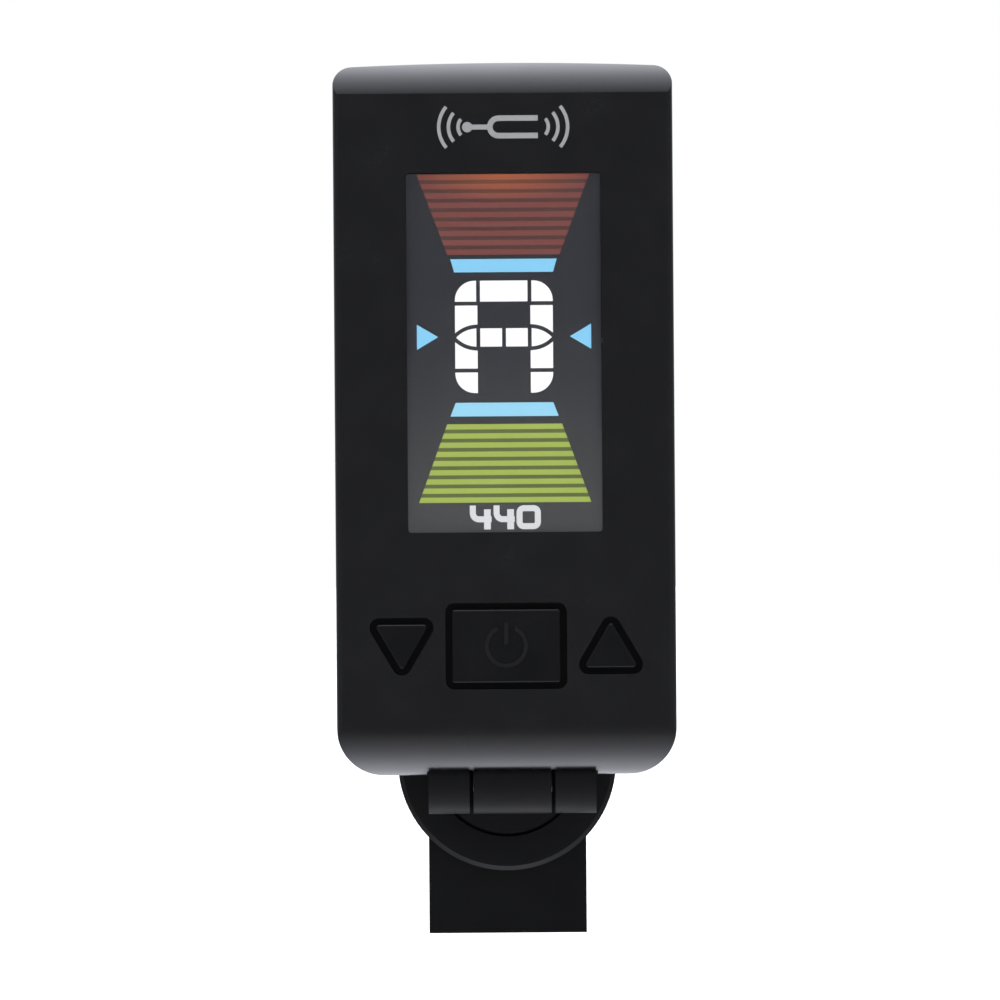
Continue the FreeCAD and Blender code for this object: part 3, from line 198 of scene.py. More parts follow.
def hinge_plastic():
    return moulded_plastic("hinge_black", (0.0038, 0.0038, 0.004),
                           (0.007, 0.007, 0.0074), gloss=0.48, dull=0.58, grain=7000.0,
                           depth=0.003 * MM, shine=0.18)


def clip_plastic():
    return moulded_plastic("clip_matt_black", (0.0028, 0.0028, 0.003),
                           (0.0055, 0.0055, 0.0058), gloss=0.42, dull=0.52, grain=4500.0,
                           depth=0.005 * MM, shine=0.3)


def rubber():
    """Soft black rubber: dusty, dull and finely pitted."""
    material, tree, shader = new_material("pad_rubber")
    place = surface_place(tree)
    dust = noise(tree, place, 900.0, 5.0)
    pits = add(tree, "ShaderNodeTexVoronoi", Scale=5000.0)
    tree.links.new(place, pits.inputs["Vector"])
    tree.links.new(tint(tree, dust, (0.018, 0.018, 0.019), (0.05, 0.049, 0.047)),
                   shader.inputs["Base Color"])
    tree.links.new(spread(tree, dust, 0.75, 0.95), shader.inputs["Roughness"])
    raise_surface(tree, shader, pits.outputs["Distance"], 0.02 * MM)
    shader.inputs["Sheen Weight"].default_value = 0.15
    return material


def metal(name, dark, light, smooth, rough, along=(1.0, 1.0, 1.0), depth=0.002):
    """Metal with duller patches and fine lines, drawn out along an axis whose scale is small.
    The depth of the lines is in millimetres."""
    material, tree, shader = new_material(name)
    place = surface_place(tree, along)
    lines = noise(tree, place, 4000.0, 4.0, 0.7)
    patches = noise(tree, surface_place(tree), 500.0, 3.0)
    tree.links.new(tint(tree, patches, dark, light), shader.inputs["Base Color"])
    tree.links.new(spread(tree, lines, smooth, rough), shader.inputs["Roughness"])
    raise_surface(tree, shader, lines, depth * MM)
    shader.inputs["Metallic"].default_value = 1.0
    return material


def spring_steel():
    return metal("spring_steel", (0.36, 0.37, 0.39), (0.5, 0.5, 0.52), 0.28, 0.42, depth=0.0003)


def drawn_steel():
    return metal("drawn_steel", (0.46, 0.47, 0.49), (0.56, 0.56, 0.57), 0.26, 0.38,
                 along=(0.08, 1, 1), depth=0.0008)


def cell_steel():
    return metal("cell_steel", (0.5, 0.5, 0.51), (0.66, 0.66, 0.66), 0.18, 0.32,
                 along=(0.1, 1, 1))


def black_steel():
    return metal("black_oxide_steel", (0.02, 0.02, 0.022), (0.045, 0.045, 0.05), 0.32, 0.5)


def brass():
    return metal("pickup_brass", (0.62, 0.4, 0.13), (0.8, 0.58, 0.24), 0.22, 0.4,
                 along=(1, 1, 0.1))


def clear_window():
    """The clear acrylic window, with a hard coat and the finest of hairlines."""
    material, tree, shader = new_material("window_acrylic")
    place = surface_place(tree)
    haze = noise(tree, place, 1200.0, 4.0)
    tree.links.new(spread(tree, haze, 0.0, 0.03), shader.inputs["Roughness"])
    tree.links.new(tint(tree, haze, (0.97, 0.975, 0.98), (1.0, 1.0, 1.0)),
                   shader.inputs["Base Color"])
    shader.inputs["Transmission Weight"].default_value = 1.0
    shader.inputs["IOR"].default_value = 1.49
    return material


def glass_sheet(name, low, high, clear):
    """A sheet of glass or acrylic, faintly clouded, that lets a share of the light through."""
    material, tree, shader = new_material(name)
    clouds = noise(tree, surface_place(tree), 400.0, 3.0)
    tree.links.new(tint(tree, clouds, low, high), shader.inputs["Base Color"])
    tree.links.new(spread(tree, clouds, 0.05, 0.12), shader.inputs["Roughness"])
    shader.inputs["Transmission Weight"].default_value = clear
    shader.inputs["IOR"].default_value = 1.52
    return material


def grained(name, low, high, smooth, rough, scale, depth, shine=0.5):
    """An ordinary surface: two near colours, varying polish and a fine relief in millimetres."""
    material, tree, shader = new_material(name)
    place = surface_place(tree)
    pattern = noise(tree, place, scale, 4.0)
    tree.links.new(tint(tree, pattern, low, high), shader.inputs["Base Color"])
    tree.links.new(spread(tree, pattern, smooth, rough), shader.inputs["Roughness"])
    raise_surface(tree, shader, pattern, depth * MM)
    shader.inputs["Specular IOR Level"].default_value = shine
    return material


def circuit_laminate():
    """Green solder mask over copper tracks, which show as a lighter, raised pattern."""
    material, tree, shader = new_material("circuit_laminate")
    place = surface_place(tree)
    tracks = add(tree, "ShaderNodeTexBrick", Scale=900.0, offset=0.35, squash=1.4)
    tracks.inputs["Mortar Size"].default_value = 0.06
    tracks.inputs["Color1"].default_value = (0, 0, 0, 1)
    tracks.inputs["Color2"].default_value = (0, 0, 0, 1)
    tracks.inputs["Mortar"].default_value = (1, 1, 1, 1)
    turned = tree.nodes.new("ShaderNodeVectorRotate")
    turned.rotation_type = "X_AXIS"
    turned.inputs["Angle"].default_value = math.radians(90)
    tree.links.new(place, turned.inputs["Vector"])
    tree.links.new(turned.outputs["Vector"], tracks.inputs["Vector"])
    tree.links.new(tint(tree, tracks.outputs["Color"], (0.01, 0.07, 0.03), (0.02, 0.16, 0.06)),
                   shader.inputs["Base Color"])
    raise_surface(tree, shader, tracks.outputs["Color"], 0.02 * MM)
    shader.inputs["Roughness"].default_value = 0.3
    return material


def lit(name, colour, strength, edge=0.9):
    """A lit part of the display: a colour that shines, very slightly uneven."""
    material, tree, shader = new_material(name)
    place = surface_place(tree)
    uneven = noise(tree, place, 700.0, 2.0)
    darker = tuple(channel * edge for channel in colour)
    shade = tint(tree, uneven, darker, colour)
    shader.inputs["Base Color"].default_value = (0.01, 0.01, 0.01, 1)
    tree.links.new(shade, shader.inputs["Emission Color"])
    shader.inputs["Emission Strength"].default_value = strength
    shader.inputs["Roughness"].default_value = 0.5
    return material


def graded(name, stops, low, high):
    """A lit surface whose colour changes with height, between two heights in metres."""
    material, tree, shader = new_material(name)
    place = tree.nodes.new("ShaderNodeTexCoord")
    split = tree.nodes.new("ShaderNodeSeparateXYZ")
    tree.links.new(place.outputs["Object"], split.inputs["Vector"])
    ramp = colour_ramp(tree, stops)
    ramp.color_ramp.interpolation = "B_SPLINE"
    tree.links.new(spread(tree, split.outputs["Z"], 0.0, 1.0, low, high), ramp.inputs["Fac"])
    tree.links.new(ramp.outputs["Color"], shader.inputs["Emission Color"])
    shader.inputs["Emission Strength"].default_value = 1.0
    shader.inputs["Base Color"].default_value = (0.01, 0.01, 0.01, 1)
    shader.inputs["Roughness"].default_value = 0.45
    return material


# ---------------------------------------------------------------- meshes

def link(name, mesh, material, body):
    """Puts a new piece in the scene, riding on a body."""
    made = bpy.data.objects.new(name, mesh)
    bpy.context.scene.collection.objects.link(made)
    mesh.materials.append(material)
    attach(made, body)
    return made


def flat_shapes(name, outlines, front, thickness, material, body="display"):
    """Thin solids cut to outlines of (across, up) points, between front and front + thickness."""
    form = bmesh.new()
    for outline in outlines:
        near = [form.verts.new((x, front, z)) for x, z in outline]
        far = [form.verts.new((x, front + thickness, z)) for x, z in outline]
        form.faces.new(near)
        form.faces.new(far[::-1])
        for number in range(len(outline)):
            after = (number + 1) % len(outline)
            form.faces.new((near[number], far[number], far[after], near[after]))
    bmesh.ops.recalc_face_normals(form, faces=form.faces)
    mesh = bpy.data.meshes.new(name)
    form.to_mesh(mesh)
    form.free()
    return link(name, mesh, material, body)


def arc(centre, radius, start, end, steps=10):
    """Points along an arc, from one angle in degrees to another."""
    points = []
    for step in range(steps + 1):
        angle = math.radians(start + (end - start) * step / steps)
        points.append((centre[0] + radius * math.cos(angle),
                       centre[1] + radius * math.sin(angle)))
    return points


def band(centre, radius, width, start, end, steps=12):
    """The outline of a curved stroke."""
    return (arc(centre, radius + width / 2, start, end, steps)
            + arc(centre, radius - width / 2, end, start, steps))


def on_screen(points):
    """Points given in millimetres from the middle of the screen, as places on the object."""
    return [(SCREEN_X + x * MM, SCREEN_Z + z * MM) for x, z in points]


def both_sides(points):
    """An outline and its mirror image."""
    return [points, [(-x, z) for x, z in reversed(points)]]


def trapezoid(top_half, top, low_half, low):
    """An outline with level top and bottom edges, from half the width of each."""
    return [(-top_half, top), (-low_half, low), (low_half, low), (top_half, top)]


def moulded_edge(piece, width):
    """The small moulded radius that every outer edge of a plastic part has."""
    made = piece.modifiers.new("moulded_edge", "BEVEL")
    made.width = width
    made.segments = 2
    made.limit_method = "ANGLE"
    made.angle_limit = math.radians(50)


# ---------------------------------------------------------------- the display

LAYER = 0.03 * MM
LAYER_PITCH = 0.036 * MM
LAYER_START = 0.033 * MM
GROUND_MARGIN = 0.2


def screen_layer(name, outlines, number, material):
    """A lit layer of the display; a higher number lies nearer the window."""
    front = SCREEN_BACK - LAYER_START - LAYER_PITCH * number
    flat_shapes(name, [on_screen(outline) for outline in outlines], front, LAYER, material)


def display_ground():
    """The dark ground of the display, a little wider than the window and paler lower down."""
    half = SCREEN_WIDTH / 2 / MM + GROUND_MARGIN
    high = SCREEN_HEIGHT / 2 / MM + GROUND_MARGIN
    shades = [(0.0, (0.058, 0.059, 0.060)), (0.3, (0.032, 0.033, 0.036)),
              (0.6, (0.005, 0.007, 0.012)), (1.0, (0.014, 0.014, 0.018))]
    material = graded("display_ground", shades, SCREEN_Z - SCREEN_HEIGHT / 2,
                      SCREEN_Z + SCREEN_HEIGHT / 2)
    screen_layer("display_ground", [trapezoid(half, high, half, -high)], 0, material)


FAN_BARS = 9
FAN_SHARE = 0.58


def fan(name, near, far, near_half, far_half, bars, gaps):
    """A fan of stacked bars that widens away from the letter, over a dim ground.
    The sizes are in millimetres, and bars and gaps are the materials of each."""
    def half_at(height):
        return near_half + (far_half - near_half) * (height - near) / (far - near)

    def strip(start, end):
        top, low = max(start, end), min(start, end)
        return trapezoid(half_at(top), top, half_at(low), low)

    pitch = (far - near) / (FAN_BARS - 1 + FAN_SHARE)
    strips = [strip(near + pitch * number, near + pitch * (number + FAN_SHARE))
              for number in range(FAN_BARS)]
    screen_layer(name + "_ground", [strip(near, far)], 1, gaps)
    screen_layer(name + "_bars", strips, 2, bars)


def glowing(name, near, far, reach):
    """A lit surface that is one colour at the middle of the screen's top and another away."""
    material, tree, shader = new_material(name)
    place = tree.nodes.new("ShaderNodeTexCoord")
    mapping = tree.nodes.new("ShaderNodeMapping")
    mapping.vector_type = "TEXTURE"
    mapping.inputs["Location"].default_value = (SCREEN_X, SCREEN_BACK,
                                                SCREEN_Z + SCREEN_HEIGHT / 2)
    mapping.inputs["Scale"].default_value = reach
    ball = tree.nodes.new("ShaderNodeTexGradient")
    ball.gradient_type = "SPHERICAL"
    tree.links.new(place.outputs["Object"], mapping.inputs["Vector"])
    tree.links.new(mapping.outputs["Vector"], ball.inputs["Vector"])
    tree.links.new(tint(tree, ball.outputs["Fac"], far, near), shader.inputs["Emission Color"])
    shader.inputs["Emission Strength"].default_value = 1.0
    shader.inputs["Base Color"].default_value = (0.01, 0.01, 0.01, 1)
    shader.inputs["Roughness"].default_value = 0.45
    return material


def sharp_and_flat_fans():
    """The red fan above the letter, with an orange glow at its top, and the green fan below."""
    glow = (6.4 * MM, 8 * MM, 2.3 * MM)
    red = glowing("red_bars", (0.39, 0.100, 0.034), (0.185, 0.046, 0.036), glow)
    red_gap = glowing("red_gaps", (0.21, 0.058, 0.022), (0.078, 0.026, 0.019), glow)
    green = lit("green_bars", (0.40, 0.52, 0.090), 1.0, 0.9)
    green_gap = lit("green_gaps", (0.125, 0.155, 0.040), 1.0)
    fan("red_fan", near=7.53, far=13.7, near_half=4.3, far_half=6.62, bars=red, gaps=red_gap)
    fan("green_fan", near=-5.45, far=-11.47, near_half=4.4, far_half=6.6, bars=green,
        gaps=green_gap)


POINTER_BACK = -6.68
POINTER_TIP = -5.05
POINTER_TOP = 2.2
POINTER_LOW = 0.27


def blue_bars_and_pointers():
    """A bar above the letter, a paler one below it, and the two pointers beside it."""
    blue = lit("blue_lit", (0.262, 0.68, 1.0), 1.0, 0.95)
    pale_blue = lit("pale_blue_lit", (0.345, 0.755, 1.0), 1.0, 0.95)
    screen_layer("upper_blue_bar", [trapezoid(4.08, 7.2, 3.79, 6.19)], 2, blue)
    screen_layer("lower_blue_bar", [trapezoid(3.74, -3.81, 4.15, -4.86)], 2, pale_blue)
    pointer = [(POINTER_BACK, POINTER_TOP), (POINTER_BACK, POINTER_LOW),
               (POINTER_TIP, (POINTER_TOP + POINTER_LOW) / 2)]
    screen_layer("pointers", both_sides(pointer), 2, blue)


# The letter, in millimetres from the screen's middle: legs, rows and a lens-shaped middle row.
LETTER_HALF = 3.75
LETTER_TOP = 5.54
LETTER_LOW = -3.07
LETTER_LEG = 1.72
LETTER_ROW = 1.6
LETTER_GAP = 0.3
LETTER_SPLIT = 1.97
LETTER_TURN = 1.5
LETTER_KNEE = -1.19
LETTER_MIDDLE = 1.185
LETTER_INNER = LETTER_HALF - LETTER_LEG
LENS_BELLY = 0.7
LENS_REACH = LETTER_LEG - 0.08
LENS_RADIUS = (LENS_REACH ** 2 + LENS_BELLY ** 2) / (2 * LENS_BELLY)
LENS_STEPS = 8


def lens_edge(radius, start, end, side=1):
    """Points along the bowed upper (1) or lower (-1) edge of the letter's middle row."""
    points = []
    for step in range(LENS_STEPS + 1):
        across = start + (end - start) * step / LENS_STEPS
        rise = LENS_BELLY - LENS_RADIUS + math.sqrt(radius ** 2 - (across + LETTER_INNER) ** 2)
        points.append((across, LETTER_MIDDLE + side * rise))
    return points


def note_letter():
    """The big segmented letter of the note that is heard: one half, and its mirror image."""
    half, inner, top, low = LETTER_HALF, LETTER_INNER, LETTER_TOP, LETTER_LOW
    gap, turn, middle, knee = LETTER_GAP, LETTER_TURN, LETTER_MIDDLE, LETTER_KNEE
    row_low = top - LETTER_ROW
    before, after = LETTER_SPLIT + gap / 2, LETTER_SPLIT - gap / 2
    corner = arc((turn - half, top - turn), turn, 180, 92) + [
        (-before, top), (-before, row_low), (-half, row_low)]
    bar = [(-after, top), (after, top), (after, row_low), (-after, row_low)]
    upper = ([(-half, row_low - gap), (-inner, row_low - gap)]
             + lens_edge(LENS_RADIUS + gap, -inner, -half))
    tip = -inner - LENS_REACH
    point = lens_edge(LENS_RADIUS, -before, tip)[:-1] + lens_edge(LENS_RADIUS, tip, -before, -1)
    block = [(-after, middle + LENS_BELLY), (-gap / 2, middle + LENS_BELLY),
             (-gap / 2, middle - LENS_BELLY), (-after, middle - LENS_BELLY)]
    lower = lens_edge(LENS_RADIUS + gap, -inner, -half, -1) + [(-half, knee), (-inner, knee)]
    foot = [(-half, knee - gap), (-inner, knee - gap), (-inner, low)] + arc(
        (turn - half, low + turn), turn, 268, 180)
    outlines = [bar]
    for piece in (corner, upper, point, block, lower, foot):
        outlines += both_sides(piece)
    screen_layer("note_letter", outlines, 2, lit("white_lit", (1.0, 1.0, 1.0), 1.12, 0.97))


DIGIT_LOW = -13.53
DIGIT_TOP = -11.69
DIGIT_LINE = 0.46
FOUR_BEND = 0.7
FOUR_BAR = 0.78
FOUR_POST_WIDTH = 0.515
FOUR_POST_INSET = 0.06
FOUR_POST_DROP = 0.3
NOUGHT_TURN = 0.55


def figure_four(left, width):
    """An open-topped 4: a bowed arm with its bar, and a post above and below the bar."""
    right, half = left + width, DIGIT_LINE / 2
    bar = DIGIT_LOW + FOUR_BAR
    bend = (left + FOUR_BEND, bar - half + FOUR_BEND)
    arm = (arc(bend, FOUR_BEND, 180, 270, 8)
           + [(right, bar - half), (right, bar + half)]
           + arc(bend, FOUR_BEND - DIGIT_LINE, 270, 180, 8)
           + [(left + DIGIT_LINE, DIGIT_TOP), (left, DIGIT_TOP)])
    near, far = right - FOUR_POST_INSET - FOUR_POST_WIDTH, right - FOUR_POST_INSET
    top = DIGIT_TOP - FOUR_POST_DROP
    post = [(near, top), (far, top), (far, bar + half), (near, bar + half)]
    stem = [(near, bar - half), (far, bar - half), (far, DIGIT_LOW), (near, DIGIT_LOW)]
    return [arm, post, stem]


def figure_nought(left, width):
    """A 0 with round corners, drawn as two halves."""
    middle = left + width / 2
    turn, small = NOUGHT_TURN, NOUGHT_TURN - DIGIT_LINE
    low, top = (left + turn, DIGIT_LOW + turn), (left + turn, DIGIT_TOP - turn)
    outer = arc(low, turn, 270, 180, 6) + arc(top, turn, 180, 90, 6)
    inner = arc(top, small, 90, 180, 4) + arc(low, small, 180, 270, 4)
    near = ([(middle, DIGIT_LOW)] + outer + [(middle, DIGIT_TOP), (middle, DIGIT_TOP - DIGIT_LINE)]
            + inner + [(middle, DIGIT_LOW + DIGIT_LINE)])
    return [near, [(2 * middle - x, z) for x, z in reversed(near)]]


def pitch_digits():
    """The reference pitch, 440, in small round digits under the lower fan."""
    figures = figure_four(-2.72, 1.66) + figure_four(-0.9, 1.62) + figure_nought(0.86, 1.86)
    screen_layer("pitch_digits", figures, 2, lit("white_digits", (0.80, 0.82, 0.84), 1.0, 0.9))


PRINT_THICKNESS = 0.02 * MM

# The printed tuning fork, in millimetres from its own middle, with its prongs to the right.
MARK_BELOW_TOP = 5.0
MARK_PROUD = 0.008
FORK_BEND = (-0.3, 0)
FORK_OUTER = 0.88
FORK_INNER = 0.46
FORK_END = 2.7
FORK_STEM = 0.19
FORK_BALL = (-2.7, 0)
FORK_BALL_RADIUS = 0.4
WAVES = 3
WAVE_START = 0.95
WAVE_PITCH = 0.74
WAVE_LINE = 0.27
WAVE_HALF_ANGLE = 40
RIGHT_WAVES = (2.55, 0)
LEFT_WAVES = (-2.45, 0)


def tuning_fork_mark():
    """A printed tuning fork with sound waves, in the place above the display."""
    height = SHELL_HIGH.z - MARK_BELOW_TOP * MM
    grey = grained("print_grey", (0.29, 0.29, 0.29), (0.40, 0.40, 0.39), 0.35, 0.5, 3000.0, 0.001)
    neck = math.degrees(math.asin(FORK_STEM / FORK_OUTER))
    grip = math.degrees(math.asin(FORK_STEM / FORK_BALL_RADIUS))
    fork = (arc(FORK_BEND, FORK_OUTER, 90, 180 - neck, 12)
            + arc(FORK_BALL, FORK_BALL_RADIUS, grip, 360 - grip, 16)
            + arc(FORK_BEND, FORK_OUTER, 180 + neck, 270, 12)
            + [(FORK_END, -FORK_OUTER), (FORK_END, -FORK_INNER)]
            + arc(FORK_BEND, FORK_INNER, 270, 90, 12)
            + [(FORK_END, FORK_INNER), (FORK_END, FORK_OUTER)])
    outlines = [fork]
    for number in range(WAVES):
        radius = WAVE_START + number * WAVE_PITCH
        outlines += [band(RIGHT_WAVES, radius, WAVE_LINE, -WAVE_HALF_ANGLE, WAVE_HALF_ANGLE),
                     band(LEFT_WAVES, radius, WAVE_LINE, 180 - WAVE_HALF_ANGLE,
                          180 + WAVE_HALF_ANGLE)]
    placed = [[(x * MM, height + z * MM) for x, z in outline] for outline in outlines]
    flat_shapes("tuning_fork_mark", placed, SHELL_LOW.y - MARK_PROUD * MM, PRINT_THICKNESS, grey)


POWER_RING = 1.5 * MM
POWER_LINE = 0.3 * MM
POWER_OPEN = 27
POWER_BAR_LOW = 0.15 * MM
POWER_BAR_HIGH = 1.8 * MM
POWER_PROUD = 0.002 * MM


def power_sign():
    """A faint printed ring and bar on the raised sign of the power key."""
    low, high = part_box("power_button")
    rise = (low.z + high.z) / 2
    material = grained("print_charcoal", (0.005, 0.005, 0.005), (0.007, 0.007, 0.007), 0.4, 0.55,
                       3000.0, 0.001)
    half = POWER_LINE / 2
    bar = [(-half, rise + POWER_BAR_LOW), (half, rise + POWER_BAR_LOW),
           (half, rise + POWER_BAR_HIGH), (-half, rise + POWER_BAR_HIGH)]
    ring = band((0, rise), POWER_RING, POWER_LINE, 90 + POWER_OPEN, 450 - POWER_OPEN, 40)
    flat_shapes("power_sign", [bar, ring], low.y - POWER_PROUD, PRINT_THICKNESS, material,
                body="power_key")


# ---------------------------------------------------------------- the spring

WIRE_RADIUS = 0.4 * MM
COIL_RADIUS = 1.9 * MM
COIL_TURNS = 4
COIL_STEPS = 200
LEG_LENGTH = 12 * MM
LEG_SHARES = (0.04, 0.33, 0.66, 1)
FRONT_LEG_LEAN = 0.056
REAR_HANDLE_BACK = 5.95
REAR_HANDLE_DOWN = 18.45


def spring_path():
    """The wire's middle line: a straight leg, the coil round the pivot, and the other leg."""
    low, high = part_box("torsion_spring")
    height = JOINTS["clip_open"]["pos_m"][2]
    half = (high.x - low.x) / 2 - WIRE_RADIUS
    lean = math.atan(REAR_HANDLE_BACK / REAR_HANDLE_DOWN)
    turned = math.pi - lean + COIL_TURNS * 2 * math.pi
    coil = []
    for step in range(COIL_STEPS + 1):
        angle = math.pi - turned * step / COIL_STEPS
        coil.append(Vector((half * (2 * step / COIL_STEPS - 1), COIL_RADIUS * math.cos(angle),
                            height + COIL_RADIUS * math.sin(angle))))
    front_way = Vector((0, -FRONT_LEG_LEAN, -1)).normalized()
    rear_way = Vector((0, math.sin(lean), -math.cos(lean)))
    front_leg = [coil[0] + front_way * (LEG_LENGTH * share) for share in reversed(LEG_SHARES)]
    rear_leg = [coil[-1] + rear_way * (LEG_LENGTH * share) for share in LEG_SHARES]
    return front_leg + coil[1:-1] + rear_leg, half, height


TUBE_SIDES = 14


def tube(name, path, radius):
    """A round wire along a path, closed at both ends."""
    form = bmesh.new()
    angles = [2 * math.pi * turn / TUBE_SIDES for turn in range(TUBE_SIDES)]
    rings = []
    side = Vector((1, 0, 0))
    for number, here in enumerate(path):
        before, after = path[max(number - 1, 0)], path[min(number + 1, len(path) - 1)]
        way = (after - before).normalized()
        side = (side - way * side.dot(way)).normalized()
        up = way.cross(side)
        offsets = [side * math.cos(angle) + up * math.sin(angle) for angle in angles]
        rings.append([form.verts.new(here + offset * radius) for offset in offsets])
    for first, second in zip(rings, rings[1:]):
        for number in range(TUBE_SIDES):
            after = (number + 1) % TUBE_SIDES
            form.faces.new((first[number], first[after], second[after], second[number]))
    form.faces.new(rings[0][::-1])
    form.faces.new(rings[-1])
    bmesh.ops.recalc_face_normals(form, faces=form.faces)
    for face in form.faces:
        face.smooth = len(face.verts) == 4
    mesh = bpy.data.meshes.new(name)
    form.to_mesh(mesh)
    form.free()
    return mesh


def torsion_spring():
    """The spring: its coil lies round the pivot between the two bodies."""
    path, half, height = spring_path()
    mesh = tube("spring_coil", path, WIRE_RADIUS)
    mesh.materials.append(spring_steel())
    made = bpy.data.objects.new("spring_coil", mesh)
    bpy.context.scene.collection.objects.link(made)
    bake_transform(made)
    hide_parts("torsion_spring")


# ---------------------------------------------------------------- the back of the housing

THUMB_RIB_HEIGHT = 0.3 * MM
ARROW_START = 8.6 * MM
ARROW_PITCH = 1.9 * MM
ARROW_HALF = 2.3 * MM
ARROW_RISE = 1.3 * MM
ARROW_LINE = 0.7 * MM
ARROW_SUNK = 0.05 * MM
ARROW_PROUD = 0.25 * MM
ARROW_EDGE = 0.08 * MM


def door_arrows():
    """Raised arrows on the battery door that show which way it slides."""
    material = bpy.data.materials["housing_satin_black"]
    back = DOOR_HIGH.y - THUMB_RIB_HEIGHT
    arrows = []
    for number in range(2):
        base = DOOR_LOW.z + (ARROW_START + number * ARROW_PITCH)
        arrows.append([(-ARROW_HALF, base), (0, base + ARROW_RISE), (ARROW_HALF, base),
                       (ARROW_HALF, base + ARROW_LINE), (0, base + ARROW_RISE + ARROW_LINE),
                       (-ARROW_HALF, base + ARROW_LINE)])
    made = flat_shapes("door_arrows", arrows, back - ARROW_SUNK, ARROW_SUNK + ARROW_PROUD,
                       material, body="door")
    moulded_edge(made, ARROW_EDGE)


# ---------------------------------------------------------------- finishes for the CAD nodes

def paint(material, *nodes):
    """Gives a finish to whole CAD pieces."""
    for node in nodes:
        mesh = frame["nodes"][node].data
        mesh.materials.clear()
        mesh.materials.append(material)


EDGE_FACING = 0.5  # an edge face looks less to the front or back than this


def ink_rim(node, material):
    """Black ink on a window's edges, so that they don't mirror the display."""
    piece = frame["nodes"][node]
    piece.data.materials.append(material)
    turn = piece.matrix_world.to_3x3()
    for face in piece.data.polygons:
        if abs((turn @ face.normal).y) < EDGE_FACING:
            face.material_index = 1


def soften_edges(width, *nodes):
    """A small radius on the edges of CAD pieces that have sharp ones."""
    for node in nodes:
        moulded_edge(frame["nodes"][node], width)


def finishes():
    """The finish of every CAD piece."""
    paint(housing_plastic(), "front_shell", "rear_shell", "battery_door")
    paint(key_plastic(), "power_button", "down_button", "up_button", "power_plunger",
          "down_plunger", "up_plunger")
    paint(hinge_plastic(), "hinge_bracket", "turntable")
    paint(grained("washer_black", (0.0015, 0.0015, 0.0015), (0.003, 0.003, 0.003), 0.8, 0.95,
                  5000.0, 0.003, 0.1), "hinge_washers")
    paint(clip_plastic(), "front_arm", "rear_arm")
    paint(rubber(), "front_pad", "rear_pad")
    paint(clear_window(), "display_window")
    ink_rim("display_window", grained("rim_ink", (0.002, 0.002, 0.002), (0.004, 0.004, 0.004),
                                      0.7, 0.85, 2000.0, 0.001, 0.2))
    paint(drawn_steel(), "hinge_pin", "swivel_washer", "swivel_screw",
          "pivot_pin", "crystal", "microcontroller_leads", "battery_contact_positive",
          "battery_contact_negative")
    paint(cell_steel(), "coin_cell")
    paint(black_steel(), "shell_screws")
    paint(brass(), "piezo_plate")
    paint(glass_sheet("display_glass", (0.03, 0.035, 0.04), (0.05, 0.055, 0.065), 0.3),
          "lcd_glass")
    paint(glass_sheet("guide_acrylic", (0.9, 0.93, 0.97), (0.97, 0.98, 1.0), 0.8), "light_guide")
    paint(grained("polariser_film", (0.02, 0.021, 0.025), (0.03, 0.031, 0.036), 0.3, 0.4,
                  800.0, 0.001), "lcd_polariser")
    paint(grained("tray_white", (0.6, 0.6, 0.58), (0.72, 0.72, 0.7), 0.4, 0.55, 1500.0, 0.003),
          "lcd_holder")
    paint(grained("polyimide", (0.35, 0.13, 0.02), (0.5, 0.22, 0.04), 0.25, 0.4, 900.0, 0.002),
          "lcd_flex")
    paint(circuit_laminate(), "circuit_board")
    paint(grained("chip_epoxy", (0.012, 0.012, 0.013), (0.024, 0.024, 0.026), 0.5, 0.7,
                  6000.0, 0.004), "microcontroller", "chip_components", "tact_switches")
    paint(grained("pickup_ceramic", (0.55, 0.54, 0.5), (0.7, 0.69, 0.64), 0.35, 0.55,
                  2500.0, 0.002), "piezo_ceramic")
    paint(grained("wire_cover", (0.35, 0.02, 0.015), (0.5, 0.03, 0.02), 0.35, 0.5,
                  3000.0, 0.002), "piezo_leads")
    paint(lit("lamp_phosphor", (0.9, 0.88, 0.62), 0.4), "backlight_leds")


# ---------------------------------------------------------------- studio

VIEW_WIDTH = 76.47 * MM  # how much the camera sees across, at the front of the housing
VIEW_SIDE = -0.4 * MM
VIEW_HEIGHT = -9.63 * MM
VIEW_ROLL = 0.42
LENS = 300.0
SENSOR = 36.0


def camera():
    """Straight on from the front with a long lens, so that there is almost no perspective."""
    data = bpy.data.cameras.new("camera")
    data.lens = LENS
    data.sensor_width = SENSOR
    data.clip_start, data.clip_end = 0.01, 20
    made = bpy.data.objects.new("camera", data)
    made.location = (VIEW_SIDE, SHELL_LOW.y - VIEW_WIDTH * LENS / SENSOR, VIEW_HEIGHT)
    made.rotation_euler = (math.radians(90), math.radians(VIEW_ROLL), 0)
    bpy.context.scene.collection.objects.link(made)
    bpy.context.scene.camera = made


# How bright the studio is, from the camera's side (0) round the tuner to the back (1).
STUDIO_SHADES = [(0.0, 0.11), (0.021, 0.24), (0.063, 0.44), (0.125, 0.63), (0.206, 0.9),
                 (0.31, 1.28), (0.444, 1.8), (0.587, 2.3), (0.765, 2.2), (0.957, 1.5),
                 (1.0, 0.4)]
STUDIO_TOP = 2.3  # the ramp holds shares of this
STUDIO_SIDES = 0.14
STUDIO_ABOVE = 1.4
STUDIO_TINT = (0.90, 0.915, 1.0)
FLOOR_HEIGHT = -100 * MM
FLOOR_HALF = 8.0
FLOOR_SEGMENTS = 8
SUN_STRENGTH = 1.8
SUN_SPREAD = 50


def product(tree, first, second):
    """The product of two values."""
    made = add(tree, "ShaderNodeMath", operation="MULTIPLY")
    tree.links.new(first, made.inputs[0])
    tree.links.new(second, made.inputs[1])
    return made.outputs["Value"]


